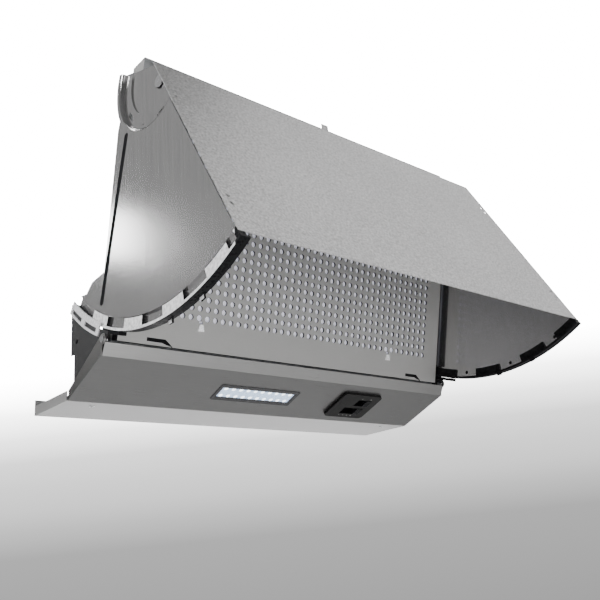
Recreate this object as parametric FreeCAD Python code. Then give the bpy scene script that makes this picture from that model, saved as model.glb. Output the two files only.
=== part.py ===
"""Built-in range hood with a tilting visor, as separate sheet, plastic and fan pieces.

The origin is midway between the two wall hanging holes, on the rear face.
X runs to the right seen from the front, Y back into the wall and Z up.
The visor is drawn open, as the hood is used.
"""
import FreeCAD, Part
import math
import os

# Overall hood
overall_width = 598.0
casing_inset = 18.5
casing_above_pivot = 62.0
hang_height = 300.0
floor_height = 58.0
overrun = 5.0
parallel_share = 0.01
slide_clearance = 0.3
running_clearance = 0.05

# Sheet and plate thicknesses
casing_sheet = 1.0
visor_sheet = 1.0
lamp_sheet = 1.0
base_sheet = 1.2
bracket_plate = 2.0

# Base strip under the rear of the hood
strip_depth = 94.0
strip_gap = 0.8
strip_upstand = 20.0
strip_lip_height = 12.0
strip_screw_inset = 41.0
strip_screw_set = 18.0
screw_radius = 1.5
screw_head_radius = 3.2
screw_head_height = 0.8
screw_length = 8.0

# Rails and hangers between the strip and the casing
rail_height = 9.0
rail_depth = 18.0
rail_inset = 9.0
hanger_set = 25.0
hanger_width = 24.0
hanger_depth = 6.0
front_rail_set = 5.0
front_rail_depth = 10.0
front_rail_height = 17.0

# Lamp panel in section: face, front lip and side flanges
lamp_slope = 21.7
lamp_face_length = 91.2
lip_length = 16.0
lip_fold = 40.4
lamp_panel_inset = 1.0
lip_inset = 1.5
lamp_rear_fold = 8.0
flange_front_height = 22.0
flange_rear_height = 10.0
flange_rear_gap = 5.0
flange_front_lead = 5.0
ear_along = -9.6
ear_above = 16.1
ear_radius = 6.5
ear_pin_radius = 2.5
ear_pin_head_radius = 4.2
ear_pin_head = 0.6
ear_pin_inner_head = 1.0

# Lamp in the lamp panel
lamp_x = -47.0
lamp_length = 134.0
lamp_along = 29.0
lamp_width = 34.0
bezel_border = 4.5
bezel_proud = 0.8
bezel_corner = 3.0
lens_corner = 1.2
bezel_depth = 8.0
lens_thickness = 2.0
lens_set_in = 0.6
led_board_thickness = 1.6
driver_x = -190.0
driver_length = 90.0
driver_width = 36.0
driver_height = 12.0

# Slide controls in the lamp panel
control_x = 136.0
control_length = 78.0
control_along = 17.0
control_width = 58.0
control_corner = 6.0
control_proud = 4.0
control_seat = 3.0
control_plate_thickness = 1.6
control_box_depth = 10.0
control_wall = 1.5
fan_slot_x = 140.0
fan_slot_length = 38.0
fan_slot_along = 50.0
fan_slot_width = 15.0
fan_knob_length = 12.0
lamp_slot_x = 147.0
lamp_slot_length = 27.0
lamp_slot_along = 29.0
lamp_slot_width = 15.0
lamp_knob_length = 11.0
knob_proud = 1.2
knob_flange = 2.5
knob_flange_thickness = 1.5

# Visor: front panel, side plates and their round seats
pivot_depth = 297.0
visor_open = 27.75
visor_inset = 6.5
panel_set_back = 10.0
panel_above_pivot = 24.6
panel_length = 305.0
panel_hole_radius = 2.6
panel_hole_edge = 9.0
panel_hole_pitch = 12.0
panel_hole_top = 58.0
panel_hole_spacing = 192.0
panel_tab_x = -22.0
panel_tab_width = 12.0
panel_tab_height = 9.0
panel_tab_bend = 4.0
fold_gap = 1.6
weld_length = 14.0
weld_shares = (0.02, 0.98)
ear_disc_radius = 80.0
ear_top_rise = 20.0
dish_back = 10.0
dish_up = 22.0
dish_radius = 71.5
dish_round = 4.0
dish_depth = 5.5
dish_inner_radius = 54.0
dish_inner_depth = 1.6
dish_slot_radius = 65.0
dish_slot_length = 10.0
dish_slot_half_width = 2.6
dish_slot_angles = (-58.0, 10.8)
dish_hole_radius = 1.7
dish_hole_angles = (-24.7, 23.7)
edge_step = 3.5
edge_step_lap = 1.0
guide_slot_half_width = 4.4
guide_slot_start = 78.2
guide_slot_rim = 26.8
guide_slot_angles = (-59.5, -29.1)
liner_border = 3.5
liner_thickness = 1.8
liner_set_in = 0.3
plate_tail_shares = (0.962, 0.93, 0.87, 0.80, 0.316, 0.262)
plate_tail_angles = (-42.0, -39.1, -38.0, -32.3, -75.8, -95.0)
plate_outside_share = 1.16

# Pivots of the visor
pin_radius = 5.0
pin_head_radius = 7.5
pin_head = 1.4
bush_radius = 8.0
bush_length = 3.4
bracket_nose_radius = 8.0
bracket_rear_drop = 42.0
bracket_rear_rise = 50.0
rivet_radius = 2.4
rivet_head = 1.0
rivet_rises = (-25.0, 32.0)

# Plastic arc trims on the side plates
trim_outer_radius = 289.0
arc_lift = 41.0
trim_web = 3.0
trim_leg = 11.0
trim_outside = 1.0
tab_thickness = 3.6
end_tab_span = 1.2
trim_inside = 2.6
trim_width = 11.5
trim_seat = 0.2
trim_front_angle = 29.8
trim_tail_angle = -42.0
outer_tab_angles = (21.6, 5.1, -11.4, -27.9)
outer_tab_span = 8.0
inner_leg_angles = (26.0, 13.4, -3.2, -19.7, -36.2)
inner_leg_span = 8.6
inner_end_span = 7.6
trim_pin_hole_radius = 2.5
trim_pin_hole_drop = 6.5
hook_angles = (1.2, 12.8)
hook_span = 1.4
hook_height = 4.0
hook_width = 2.4

# Cheeks, guides and glide blocks that carry the arcs
cheek_gap = 0.8
cheek_plate = 1.2
cheek_arc_gap = 2.0
cheek_rear_gap = 2.0
cheek_lift = 4.0
cheek_ear_radius = 4.8
cheek_front_drop = 8.0
cheek_front_back = 4.0
cheek_front_reach = 9.0
cheek_front_rise = 6.0
cheek_front_height = 20.0
cheek_top_angle = -43.5
cheek_notch_depth = 9.0
cheek_notch_height = 54.0
cheek_hole_back = 70.0
cheek_hole_rise = 16.0
cheek_hole_radius = 3.2
guide_cover = 5.5
guide_drop = 11.0
guide_angles = (-42.5, -25.5)
guide_thickness = 1.6
guide_window_border = 3.0
guide_window_drop = 8.0
guide_window_angles = ((-41.5, -35.5), (-33.5, -27.0))
glide_gap = 0.4
glide_height = 4.2
glide_angles = (-24.5, -16.5)
glide_hook_gap = 0.8

# Grille tray and grease filter
grille_lean = 14.3
grille_behind_lip = 4.0
grille_bottom = 4.5
grille_drop = 74.0
grille_flange = 13.0
grille_pitch = 12.0
grille_hole_radius = 3.6
grille_side_border = 32.0
grille_top_border = 22.0
grille_first_row = 45.0
slit_width = 4.5
slit_sets = (37.5, 489.0)
slit_run = 25.0
slit_drop_run = 10.0
slit_height = 13.0
filter_thickness = 9.0
filter_set_back = 3.0
filter_border = 6.0
filter_low = 40.0
catch_positions = ((-171.0, 33.0), (165.0, 33.0))
catch_width = 8.5
catch_height = 8.5
catch_proud = 2.4
catch_stem = 4.0
catch_travel = 6.0
catch_plate = 1.0
hinge_ear_set = 8.0
hinge_ear_plate = 2.0
hinge_ear_height = 12.0
hinge_pin_radius = 2.0
grille_ear_radius = 5.0

# Shallow casing frame behind the grille and the fan box behind it
frame_front = 15.0
frame_rear = 40.0
header_sheet = 1.2
header_drop = 14.0
box_half = 175.0
wall_hole_spacing = 260.0
wall_hole_radius = 4.0
outlet_y = -113.0
collar_radius = 74.5
collar_wall = 2.0
collar_height = 38.0
collar_flange = 8.0
collar_flange_thickness = 1.5
damper_height = 14.0
damper_pin_radius = 1.5
damper_pin_end_gap = 0.2
damper_gap = 2.5
damper_edge = 3.6
damper_sheet = 1.0
knuckle_wall = 1.5
knuckle_length = 16.0
knuckle_places = (-50.0, 20.0)
knuckle_shift = 30.0

# Fan, with its axis along Y
fan_x = -55.0
fan_height = 205.0
scroll_front_y = -150.0
scroll_rear_y = -42.0
scroll_wall = 1.5
scroll_small_radius = 92.0
scroll_large_radius = 140.0
scroll_start = 80.0
scroll_arcs = 4
inlet_radius = 72.0
wheel_radius = 85.0
blade_depth = 16.0
blade_thickness = 1.2
blade_lean = 35.0
blade_count = 30
wheel_front_y = -145.0
wheel_rear_y = -58.0
wheel_ring = 2.0
wheel_web_y = -106.0
hub_radius = 12.0
hub_length = 14.0
shaft_radius = 4.0
shaft_front_y = -122.0
shaft_rear_y = -70.0
motor_radius = 44.0
motor_front_y = -100.0
stand_off_radius = 6.0
stand_off_reach = 70.0
terminal_size = (56.0, 34.0, 44.0)
terminal_set = 26.0
terminal_height = 76.0
capacitor_radius = 13.0
capacitor_length = 48.0
capacitor_set = 25.0

base_half = overall_width / 2
casing_half = base_half - casing_inset
visor_half = base_half - visor_inset
rail_width = 2 * (base_half - rail_inset)
strip_screw_x = base_half - strip_screw_inset
strip_screw_y = strip_screw_set - strip_depth
hanger_x = box_half - hanger_set
trim_half = visor_half + trim_outside
cheek_half = trim_half + cheek_gap + cheek_plate
cheek_inner = trim_half + cheek_gap
flange_half = base_half - lamp_panel_inset
lip_width = 2 * (flange_half - lip_inset)
plate_radius = trim_outer_radius - trim_web - trim_seat
leg_radius = trim_outer_radius - trim_web - trim_leg
step_radius = leg_radius - edge_step_lap
band_out = visor_half - edge_step
pivot_height = trim_outer_radius + arc_lift
casing_height = pivot_height + casing_above_pivot
guide_slot_radii = (guide_slot_start, trim_outer_radius - guide_slot_rim)
grille_height = casing_height - grille_drop
grille_columns = 1 + int(2 * (casing_half - grille_side_border) / grille_pitch)
grille_rows = 1 + int((grille_height - grille_bottom - grille_top_border - grille_first_row) / grille_pitch)


def up(height):
    """Z of a height above the hood's underside."""
    return height - hang_height


pivot_y = -pivot_depth
pivot_z = up(pivot_height)
dish_y = pivot_y + dish_back
dish_z = pivot_z + dish_up
floor_z = up(floor_height)
top_z = up(casing_height)


def block(x, y, z):
    """Box between pairs of low and high limits."""
    corner = FreeCAD.Vector(x[0], y[0], z[0])
    return Part.makeBox(x[1] - x[0], y[1] - y[0], z[1] - z[0], corner)


def around(centre, size):
    """Low and high limit of a size centred on a place."""
    return (centre - size / 2, centre + size / 2)


def side_span(side, inner, outer):
    """X limits of a piece on the left (-1) or right (+1) side."""
    return tuple(sorted((side * inner, side * outer)))


def slab(points, x):
    """Prism of a (y, z) outline between two X limits."""
    corners = [FreeCAD.Vector(x[0], y, z) for y, z in points]
    face = Part.Face(Part.makePolygon(corners + corners[:1]))
    return face.extrude(FreeCAD.Vector(x[1] - x[0], 0, 0))


def rod_x(centre, radius, x):
    """Round bar along X at a (y, z) centre."""
    start = FreeCAD.Vector(x[0], centre[0], centre[1])
    return Part.makeCylinder(radius, x[1] - x[0], start, FreeCAD.Vector(1, 0, 0))


def rod_y(centre, radius, y):
    """Round bar along Y at an (x, z) centre."""
    start = FreeCAD.Vector(centre[0], y[0], centre[1])
    return Part.makeCylinder(radius, y[1] - y[0], start, FreeCAD.Vector(0, 1, 0))


def rod_z(centre, radius, z):
    """Round bar along Z at an (x, y) centre."""
    start = FreeCAD.Vector(centre[0], centre[1], z[0])
    return Part.makeCylinder(radius, z[1] - z[0], start)


def obround_x(first, second, half_width, x):
    """Straight round-ended bar between two (y, z) points."""
    run = (second[0] - first[0], second[1] - first[1])
    length = math.hypot(run[0], run[1])
    across = (-run[1] / length * half_width, run[0] / length * half_width)
    corners = [
        (first[0] + across[0], first[1] + across[1]),
        (second[0] + across[0], second[1] + across[1]),
        (second[0] - across[0], second[1] - across[1]),
        (first[0] - across[0], first[1] - across[1]),
    ]
    ends = [rod_x(first, half_width, x), rod_x(second, half_width, x)]
    return slab(corners, x).multiFuse(ends).removeSplitter()


def polar(radius, angle):
    """(y, z) at a radius from the pivot, the angle turning forward from straight down."""
    turn = math.radians(angle)
    return (pivot_y - radius * math.sin(turn), pivot_z - radius * math.cos(turn))


def arc_block(radii, angles, x):
    """Piece of a ring about the visor pivot, between two X limits."""
    middle = (angles[0] + angles[1]) / 2

    def point(radius, angle):
        y, z = polar(radius, angle)
        return FreeCAD.Vector(x[0], y, z)

    small, large = radii
    outer = Part.Arc(point(large, angles[0]), point(large, middle), point(large, angles[1]))
    inner = Part.Arc(point(small, angles[1]), point(small, middle), point(small, angles[0]))
    first = Part.LineSegment(point(large, angles[1]), point(small, angles[1]))
    last = Part.LineSegment(point(small, angles[0]), point(large, angles[0]))
    wire = Part.Wire([outer.toShape(), first.toShape(), inner.toShape(), last.toShape()])
    return Part.Face(wire).extrude(FreeCAD.Vector(x[1] - x[0], 0, 0))


def flap(along, behind):
    """(y, z) on the open visor: down the front panel from the pivot, and behind its outer face."""
    turn = math.radians(visor_open)
    back = behind - panel_set_back
    y = pivot_y - along * math.sin(turn) + back * math.cos(turn)
    z = pivot_z - along * math.cos(turn) - back * math.sin(turn)
    return (y, z)


lamp_turn = math.radians(lamp_slope)
lamp_fold_y = -strip_depth - lamp_face_length * math.cos(lamp_turn)
lamp_fold_z = up(lamp_face_length * math.sin(lamp_turn))


def lamp(along, above):
    """(y, z) on the lamp panel: back along its face from the front fold, and above that face."""
    y = lamp_fold_y + along * math.cos(lamp_turn) + above * math.sin(lamp_turn)
    z = lamp_fold_z - along * math.sin(lamp_turn) + above * math.cos(lamp_turn)
    return (y, z)


lip_turn = math.radians(lamp_slope + lip_fold)
lip_top_y = lamp_fold_y - lip_length * math.cos(lip_turn)
lip_top_z = lamp_fold_z + lip_length * math.sin(lip_turn)
grille_turn = math.radians(grille_lean)
grille_y = lip_top_y + grille_behind_lip


def grille(along, behind):
    """(y, z) on the grille: up its face from the lip, and behind that face."""
    y = grille_y - along * math.sin(grille_turn) + behind * math.cos(grille_turn)
    z = lip_top_z + along * math.cos(grille_turn) + behind * math.sin(grille_turn)
    return (y, z)


def grille_at(z, behind):
    """(y, z) at a level, a distance behind the grille's face."""
    along = (z - lip_top_z - behind * math.sin(grille_turn)) / math.cos(grille_turn)
    return grille(along, behind)


def sheet_on(frame, along, above, x):
    """Slab between limits along and off a sloping face."""
    corners = [
        frame(along[0], above[0]),
        frame(along[1], above[0]),
        frame(along[1], above[1]),
        frame(along[0], above[1]),
    ]
    return slab(corners, x)


def rounded(along, above, x, radius):
    """Slab off the lamp panel's face, with its four corners rounded."""
    body = sheet_on(lamp, along, above, x)
    normal = FreeCAD.Vector(0, math.sin(lamp_turn), math.cos(lamp_turn))
    corners = []
    for edge in body.Edges:
        if edge.tangentAt(edge.FirstParameter).cross(normal).Length < parallel_share:
            corners.append(edge)
    return body.makeFillet(radius, corners)


def save(name, shape):
    """Write one sub-part."""
    shape.exportStep(os.path.join("parts", name + ".step"))


SIDES = (("left", -1), ("right", 1))


def pair(piece):
    """Left and right copies of a piece."""
    return Part.makeCompound([piece(side) for name, side in SIDES])


def base_strip():
    """Flat strip under the rear of the hood, with upturned side lips and rear edge."""
    y = (-strip_depth + strip_gap, 0)
    z = (up(0), up(base_sheet))
    strip = block((-base_half, base_half), y, z)
    rear = block((-base_half, base_half), (-base_sheet, 0), (up(0), up(strip_upstand)))
    edges = [rear]
    for name, side in SIDES:
        x = side_span(side, base_half - base_sheet, base_half)
        edges.append(block(x, y, (up(0), up(strip_lip_height))))
    strip = strip.multiFuse(edges).removeSplitter()
    for name, side in SIDES:
        hole = (side * strip_screw_x, strip_screw_y)
        strip = strip.cut(rod_z(hole, screw_radius + running_clearance, (up(-overrun), up(overrun))))
    return strip


def rear_rail():
    """Low channel on the strip, closed on top."""
    y = around(strip_screw_y, rail_depth)
    top = base_sheet + rail_height
    rail = block(around(0, rail_width), y, (up(base_sheet), up(top)))
    inside = (y[0] + base_sheet, y[1] - base_sheet)
    hollow_z = (up(2 * base_sheet), up(top - base_sheet))
    rail = rail.cut(block(around(0, rail_width + overrun), inside, hollow_z))
    for name, side in SIDES:
        hole = (side * strip_screw_x, strip_screw_y)
        rail = rail.cut(rod_z(hole, screw_radius + running_clearance, (up(0), up(base_sheet + overrun))))
    return rail


def rail_hangers():
    """Two posts that hang the rear rail from the fan box."""
    top = floor_z - casing_sheet
    low = up(base_sheet + rail_height)
    y = around(strip_screw_y, hanger_depth)
    posts = [block(around(side * hanger_x, hanger_width), y, (low, top)) for name, side in SIDES]
    return Part.makeCompound(posts)


def strip_screws():
    """Two screws through the strip into the rear rail."""
    screws = []
    for name, side in SIDES:
        centre = (side * strip_screw_x, strip_screw_y)
        head = rod_z(centre, screw_head_radius, (up(-screw_head_height), up(0)))
        shank = rod_z(centre, screw_radius, (up(0), up(screw_length)))
        screws.append(head.fuse(shank).removeSplitter())
    return Part.makeCompound(screws)


def front_rail():
    """Rail under the casing frame that carries the cheeks."""
    top = floor_z - casing_sheet
    front = frame_cover_y(top)[0] + front_rail_set
    y = (front, front + front_rail_depth)
    return block((-cheek_inner, cheek_inner), y, (top - front_rail_height, top))


def lamp_panel():
    """Folded lamp panel: sloping face, front lip, rear fold and side flanges with ears."""
    rear = lamp_face_length - strip_gap
    half = (-flange_half, flange_half)
    face = sheet_on(lamp, (0, rear), (0, lamp_sheet), half)
    turn = math.radians(lip_fold)
    inset = lamp_sheet * math.tan(turn / 2)
    lip_end = (-lip_length * math.cos(turn), lip_length * math.sin(turn))
    lip_in = (lip_end[0] + lamp_sheet * math.sin(turn), lip_end[1] + lamp_sheet * math.cos(turn))
    lip_points = [lamp(0, 0), lamp(*lip_end), lamp(*lip_in), lamp(inset, lamp_sheet)]
    lip = slab(lip_points, around(0, lip_width))
    fold = sheet_on(lamp, (rear - lamp_sheet, rear), (0, lamp_rear_fold), around(0, lip_width))
    panel = face.multiFuse([lip, fold])
    for name, side in SIDES:
        x = side_span(side, flange_half - lamp_sheet, flange_half)
        flange_points = [
            lamp(0, 0),
            lamp(rear - flange_rear_gap, 0),
            lamp(rear - flange_rear_gap, flange_rear_height),
            lamp(-flange_front_lead, flange_front_height),
            lamp(ear_along, ear_above),
        ]
        ear = rod_x(lamp(ear_along, ear_above), ear_radius, x)
        panel = panel.multiFuse([slab(flange_points, x), ear])
        hole = ear_pin_radius + running_clearance
        panel = panel.cut(rod_x(lamp(ear_along, ear_above), hole, (x[0] - overrun, x[1] + overrun)))
    cut = (-overrun, overrun)
    lamp_gap = bezel_border / 2
    along = (lamp_along + lamp_gap, lamp_along + lamp_width - lamp_gap)
    panel = panel.cut(sheet_on(lamp, along, cut, around(lamp_x, lamp_length - bezel_border)))
    along = (control_along, control_along + control_width)
    panel = panel.cut(rounded(along, cut, around(control_x, control_length), control_corner))
    return panel.removeSplitter()


def lamp_hinge_pins():
    """Headed pins on the cheeks, on which the lamp panel swings."""
    pins = []
    centre = lamp(ear_along, ear_above)
    for name, side in SIDES:
        head_inner = flange_half + slide_clearance
        shank = rod_x(centre, ear_pin_radius, side_span(side, cheek_inner, head_inner))
        head = rod_x(centre, ear_pin_head_radius, side_span(side, head_inner, head_inner + ear_pin_head))
        inner = rod_x(centre, ear_pin_head_radius, side_span(side, cheek_inner - ear_pin_inner_head, cheek_inner))
        pins.append(shank.multiFuse([head, inner]).removeSplitter())
    return Part.makeCompound(pins)


def lamp_bezel():
    """Frame round the lens: a proud rim outside the panel and a body through its window."""
    along = (lamp_along, lamp_along + lamp_width)
    rim = rounded(along, (-bezel_proud, 0), around(lamp_x, lamp_length), bezel_corner)
    step = bezel_border / 2
    inner = (along[0] + step, along[1] - step)
    body = sheet_on(lamp, inner, (0, bezel_depth), around(lamp_x, lamp_length - bezel_border))
    opening = (along[0] + bezel_border, along[1] - bezel_border)
    window = rounded(opening, (-overrun, bezel_depth + overrun), lens_span(), lens_corner)
    return rim.fuse(body).cut(window).removeSplitter()


def lens_span():
    """X limits of the lens."""
    return around(lamp_x, lamp_length - 2 * bezel_border)


def lamp_lens():
    """Clear lens, set in its bezel."""
    along = (lamp_along + bezel_border, lamp_along + lamp_width - bezel_border)
    above = (lens_set_in, lens_set_in + lens_thickness)
    return rounded(along, above, lens_span(), lens_corner)


def led_board():
    """Board on top of the bezel."""
    step = bezel_border / 2
    along = (lamp_along + step, lamp_along + lamp_width - step)
    above = (bezel_depth, bezel_depth + led_board_thickness)
    return sheet_on(lamp, along, above, around(lamp_x, lamp_length - bezel_border))


def led_driver():
    """Driver case on the inside of the lamp panel."""
    along = (lamp_along, lamp_along + driver_width)
    return sheet_on(lamp, along, (lamp_sheet, lamp_sheet + driver_height), around(driver_x, driver_length))


def control_box():
    """Cup behind the panel that holds the slide controls."""
    along = (control_along, control_along + control_width)
    outer_along = (along[0] - control_wall, along[1] + control_wall)
    outer_x = around(control_x, control_length + 2 * control_wall)
    outer_corner = control_corner + control_wall
    cup = rounded(outer_along, (lamp_sheet, control_box_depth), outer_x, outer_corner)
    hollow = (0, control_box_depth - control_wall)
    return cup.cut(rounded(along, hollow, around(control_x, control_length), control_corner))


def slot_window(centre, length, along, width):
    """Cut for one slide control."""
    above = (-control_proud - overrun, control_box_depth)
    return sheet_on(lamp, (along, along + width), above, around(centre, length))


def control_plate():
    """Raised cap through the panel into the cup, with a slot for each slide."""
    along = (control_along, control_along + control_width)
    inner = (along[0] + control_wall, along[1] - control_wall)
    inner_x = around(control_x, control_length - 2 * control_wall)
    hollow = (control_plate_thickness - control_proud, control_seat + overrun)
    plate = rounded(along, (-control_proud, control_seat), around(control_x, control_length), control_corner)
    plate = plate.cut(rounded(inner, hollow, inner_x, control_corner - control_wall))
    plate = plate.cut(slot_window(fan_slot_x, fan_slot_length, fan_slot_along, fan_slot_width))
    return plate.cut(slot_window(lamp_slot_x, lamp_slot_length, lamp_slot_along, lamp_slot_width))


def slide_knob(slot_x, slot_length, slot_along, slot_width, knob_length):
    """Knob at the right end of its slot, kept in by a flange behind the plate."""
    right = slot_x + slot_length / 2 - slide_clearance
    x = (right - knob_length, right)
    along = (slot_along + slide_clearance, slot_along + slot_width - slide_clearance)
    behind = control_plate_thickness + slide_clearance - control_proud
    knob = sheet_on(lamp, along, (-control_proud - knob_proud, behind), x)
    wide = (along[0] - knob_flange, along[1] + knob_flange)
    flange = sheet_on(lamp, wide, (behind, behind + knob_flange_thickness), x)
    return knob.fuse(flange).removeSplitter()


def visor_front_panel():
    """Front panel of the visor, with the pairs of door fixing holes."""
    along = (-panel_above_pivot, panel_length - panel_above_pivot)
    panel = sheet_on(flap, along, (0, visor_sheet), (-visor_half, visor_half))
    turn = math.radians(visor_open)
    normal = FreeCAD.Vector(0, math.cos(turn), -math.sin(turn))
    for name, side in SIDES:
        for row in (0, panel_hole_spacing):
            for step in (0, panel_hole_pitch):
                y, z = flap(along[0] + panel_hole_top + row + step, -overrun)
                start = FreeCAD.Vector(side * (visor_half - panel_hole_edge), y, z)
                depth = visor_sheet + 2 * overrun
                panel = panel.cut(Part.makeCylinder(panel_hole_radius, depth, start, normal))
    return panel.fuse(visor_tab()).removeSplitter()


def visor_tab():
    """Bent tab on the top edge of the front panel."""
    top = -panel_above_pivot
    points = [
        flap(top, 0),
        flap(top, visor_sheet),
        flap(top - panel_tab_height, visor_sheet - panel_tab_bend),
        flap(top - panel_tab_height, -panel_tab_bend),
    ]
    return slab(points, around(panel_tab_x, panel_tab_width))


def about_dish(radius, angle):
    """(y, z) at a radius from the dish's middle, the angle turning forward from straight down."""
    turn = math.radians(angle)
    return (dish_y - radius * math.sin(turn), dish_z - radius * math.cos(turn))


def dish(side, out):
    """Round stepped dish pressed into a side plate with a rounded rim; out is the plate's outer face."""
    floor = out - dish_depth
    deep = floor - dish_inner_depth
    bend_x = out - dish_round
    bend_radius = dish_radius + dish_round
    middle = math.radians(45)

    def place(x, radius):
        return FreeCAD.Vector(side * x, dish_y + radius, dish_z)

    def bend(radius):
        points = [
            place(bend_x + radius * math.sin(turn), bend_radius - radius * math.cos(turn))
            for turn in (0, middle, 2 * middle)
        ]
        return Part.Arc(*points).toShape(), points[0], points[2]

    outer, outer_low, outer_high = bend(dish_round)
    inner, inner_low, inner_high = bend(dish_round - visor_sheet)
    path = [
        outer_low,
        place(floor, dish_radius),
        place(floor, dish_inner_radius),
        place(deep, dish_inner_radius),
        place(deep, 0),
        place(deep - visor_sheet, 0),
        place(deep - visor_sheet, dish_inner_radius + visor_sheet),
        place(floor - visor_sheet, dish_inner_radius + visor_sheet),
        place(floor - visor_sheet, dish_radius + visor_sheet),
        inner_low,
    ]
    edges = [Part.LineSegment(first, last).toShape() for first, last in zip(path, path[1:])]
    edges += [inner, Part.LineSegment(inner_high, outer_high).toShape(), outer]
    face = Part.Face(Part.Wire(Part.__sortEdges__(edges)))
    return face.revolve(place(0, 0), FreeCAD.Vector(1, 0, 0), 360)


def plate_trimming(x):
    """What is cut off a side plate: beyond the front panel, beyond the fold gap and above the ear."""
    far = trim_outer_radius * plate_outside_share
    top = -panel_above_pivot
    bottom = panel_length - panel_above_pivot
    gap = sheet_on(flap, (-2 * far, 2 * far), (-far, visor_sheet + fold_gap), x)
    for share in weld_shares:
        middle = top + (bottom - top) * share
        gap = gap.cut(sheet_on(flap, around(middle, weld_length), (visor_sheet, visor_sheet + fold_gap), x))
    start = flap(top, 0)
    rise = math.tan(math.radians(ear_top_rise))
    above = [
        (start[0] - far, start[1] - far * rise),
        (start[0] + far, start[1] + far * rise),
        (start[0] + far, start[1] + far + far),
        (start[0] - far, start[1] + far + far),
    ]
    return gap.fuse(slab(above, x))


def visor_side(side):
    """Sector-shaped side plate of the visor, stepped in along its round edge."""
    out = visor_half
    pivot = (pivot_y, pivot_z)
    x = side_span(side, out - visor_sheet, out)
    band_x = side_span(side, out - visor_sheet - edge_step, out - edge_step)
    through = side_span(side, out - dish_depth - dish_inner_depth - overrun, out + overrun)
    far = plate_radius * plate_outside_share
    outline = [flap(0, visor_sheet), flap(far, visor_sheet)]
    outline += [polar(far, angle) for angle in (0, plate_tail_angles[0] / 2, plate_tail_angles[0])]
    outline += [polar(plate_radius * share, a) for share, a in zip(plate_tail_shares, plate_tail_angles)]
    plate = slab(outline, x).common(rod_x(pivot, step_radius, x))
    band = slab(outline, band_x).common(rod_x(pivot, plate_radius, band_x))
    band = band.cut(rod_x(pivot, step_radius - visor_sheet, band_x))
    step_x = side_span(side, out - visor_sheet - edge_step, out)
    step = slab(outline, step_x).common(rod_x(pivot, step_radius, step_x))
    step = step.cut(rod_x(pivot, step_radius - visor_sheet, step_x))
    plate = plate.multiFuse([band, step, rod_x((dish_y, dish_z), ear_disc_radius, x)])
    plate = plate.cut(rod_x((dish_y, dish_z), dish_radius + dish_round, through))
    plate = plate.fuse(dish(side, out))
    plate = plate.cut(guide_slot(guide_slot_half_width, through))
    half_turn = math.degrees(dish_slot_length / 2 / dish_slot_radius)
    for angle in dish_slot_angles:
        ends = [about_dish(dish_slot_radius, angle + turn) for turn in (-half_turn, half_turn)]
        plate = plate.cut(obround_x(ends[0], ends[1], dish_slot_half_width, through))
    for angle in dish_hole_angles:
        plate = plate.cut(rod_x(about_dish(dish_slot_radius, angle), dish_hole_radius, through))
    plate = plate.cut(rod_x(pivot, bush_radius + running_clearance, through))
    for angle in outer_tab_angles:
        hole = polar(plate_radius - trim_pin_hole_drop, angle)
        plate = plate.cut(rod_x(hole, trim_pin_hole_radius, through))
    return plate.cut(plate_trimming(through)).removeSplitter()


def guide_slot(half_width, x):
    """Long slanting bar the shape of the slot in a side plate."""
    ends = [polar(radius, angle) for radius, angle in zip(guide_slot_radii, guide_slot_angles)]
    return obround_x(ends[0], ends[1], half_width, x)


def slot_liner(side):
    """Black strip behind the long slot, standing a little way into it."""
    inner = visor_half - visor_sheet
    strip_x = side_span(side, inner - liner_thickness, inner)
    strip = guide_slot(guide_slot_half_width + liner_border, strip_x)
    tongue_width = guide_slot_half_width - slide_clearance
    return strip.fuse(guide_slot(tongue_width, side_span(side, inner, visor_half - liner_set_in)))


def pivot_bush(side):
    """Plastic bush in the middle of a dish."""
    floor = visor_half - dish_depth - dish_inner_depth - visor_sheet / 2
    x = side_span(side, floor - bush_length / 2, floor + bush_length / 2)
    bush = rod_x((pivot_y, pivot_z), bush_radius, x)
    return bush.cut(rod_x((pivot_y, pivot_z), pin_radius + running_clearance, x))


def pivot_pin(side):
    """Headed pin that a visor bush turns on, fixed in its bracket."""
    bush_out = visor_half - dish_depth - dish_inner_depth - visor_sheet / 2 + bush_length / 2
    head_in = bush_out + slide_clearance
    shank = rod_x((pivot_y, pivot_z), pin_radius, side_span(side, casing_half, head_in))
    head = rod_x((pivot_y, pivot_z), pin_head_radius, side_span(side, head_in, head_in + pin_head))
    return shank.fuse(head).removeSplitter()


def pivot_bracket(side):
    """Plate outside the casing frame that reaches forward to the pivot."""
    x = side_span(side, casing_half, casing_half + bracket_plate)
    low = grille_at(pivot_z - bracket_rear_drop, frame_rear)
    high = grille_at(pivot_z + bracket_rear_rise, frame_rear)
    outline = [
        (pivot_y, pivot_z + bracket_nose_radius),
        (pivot_y, pivot_z - bracket_nose_radius),
        low,
        high,
    ]
    plate = slab(outline, x).fuse(rod_x((pivot_y, pivot_z), bracket_nose_radius, x))
    plate = plate.cut(rod_x((pivot_y, pivot_z), pin_radius, x))
    return plate.removeSplitter()


def bracket_rivets():
    """Rivet heads that hold the pivot brackets."""
    rivets = []
    for name, side in SIDES:
        x = side_span(side, casing_half + bracket_plate, casing_half + bracket_plate + rivet_head)
        for rise in rivet_rises:
            centre = grille_at(pivot_z + rise, (frame_front + frame_rear) / 2)
            rivets.append(rod_x(centre, rivet_radius, x))
    return Part.makeCompound(rivets)


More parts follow.
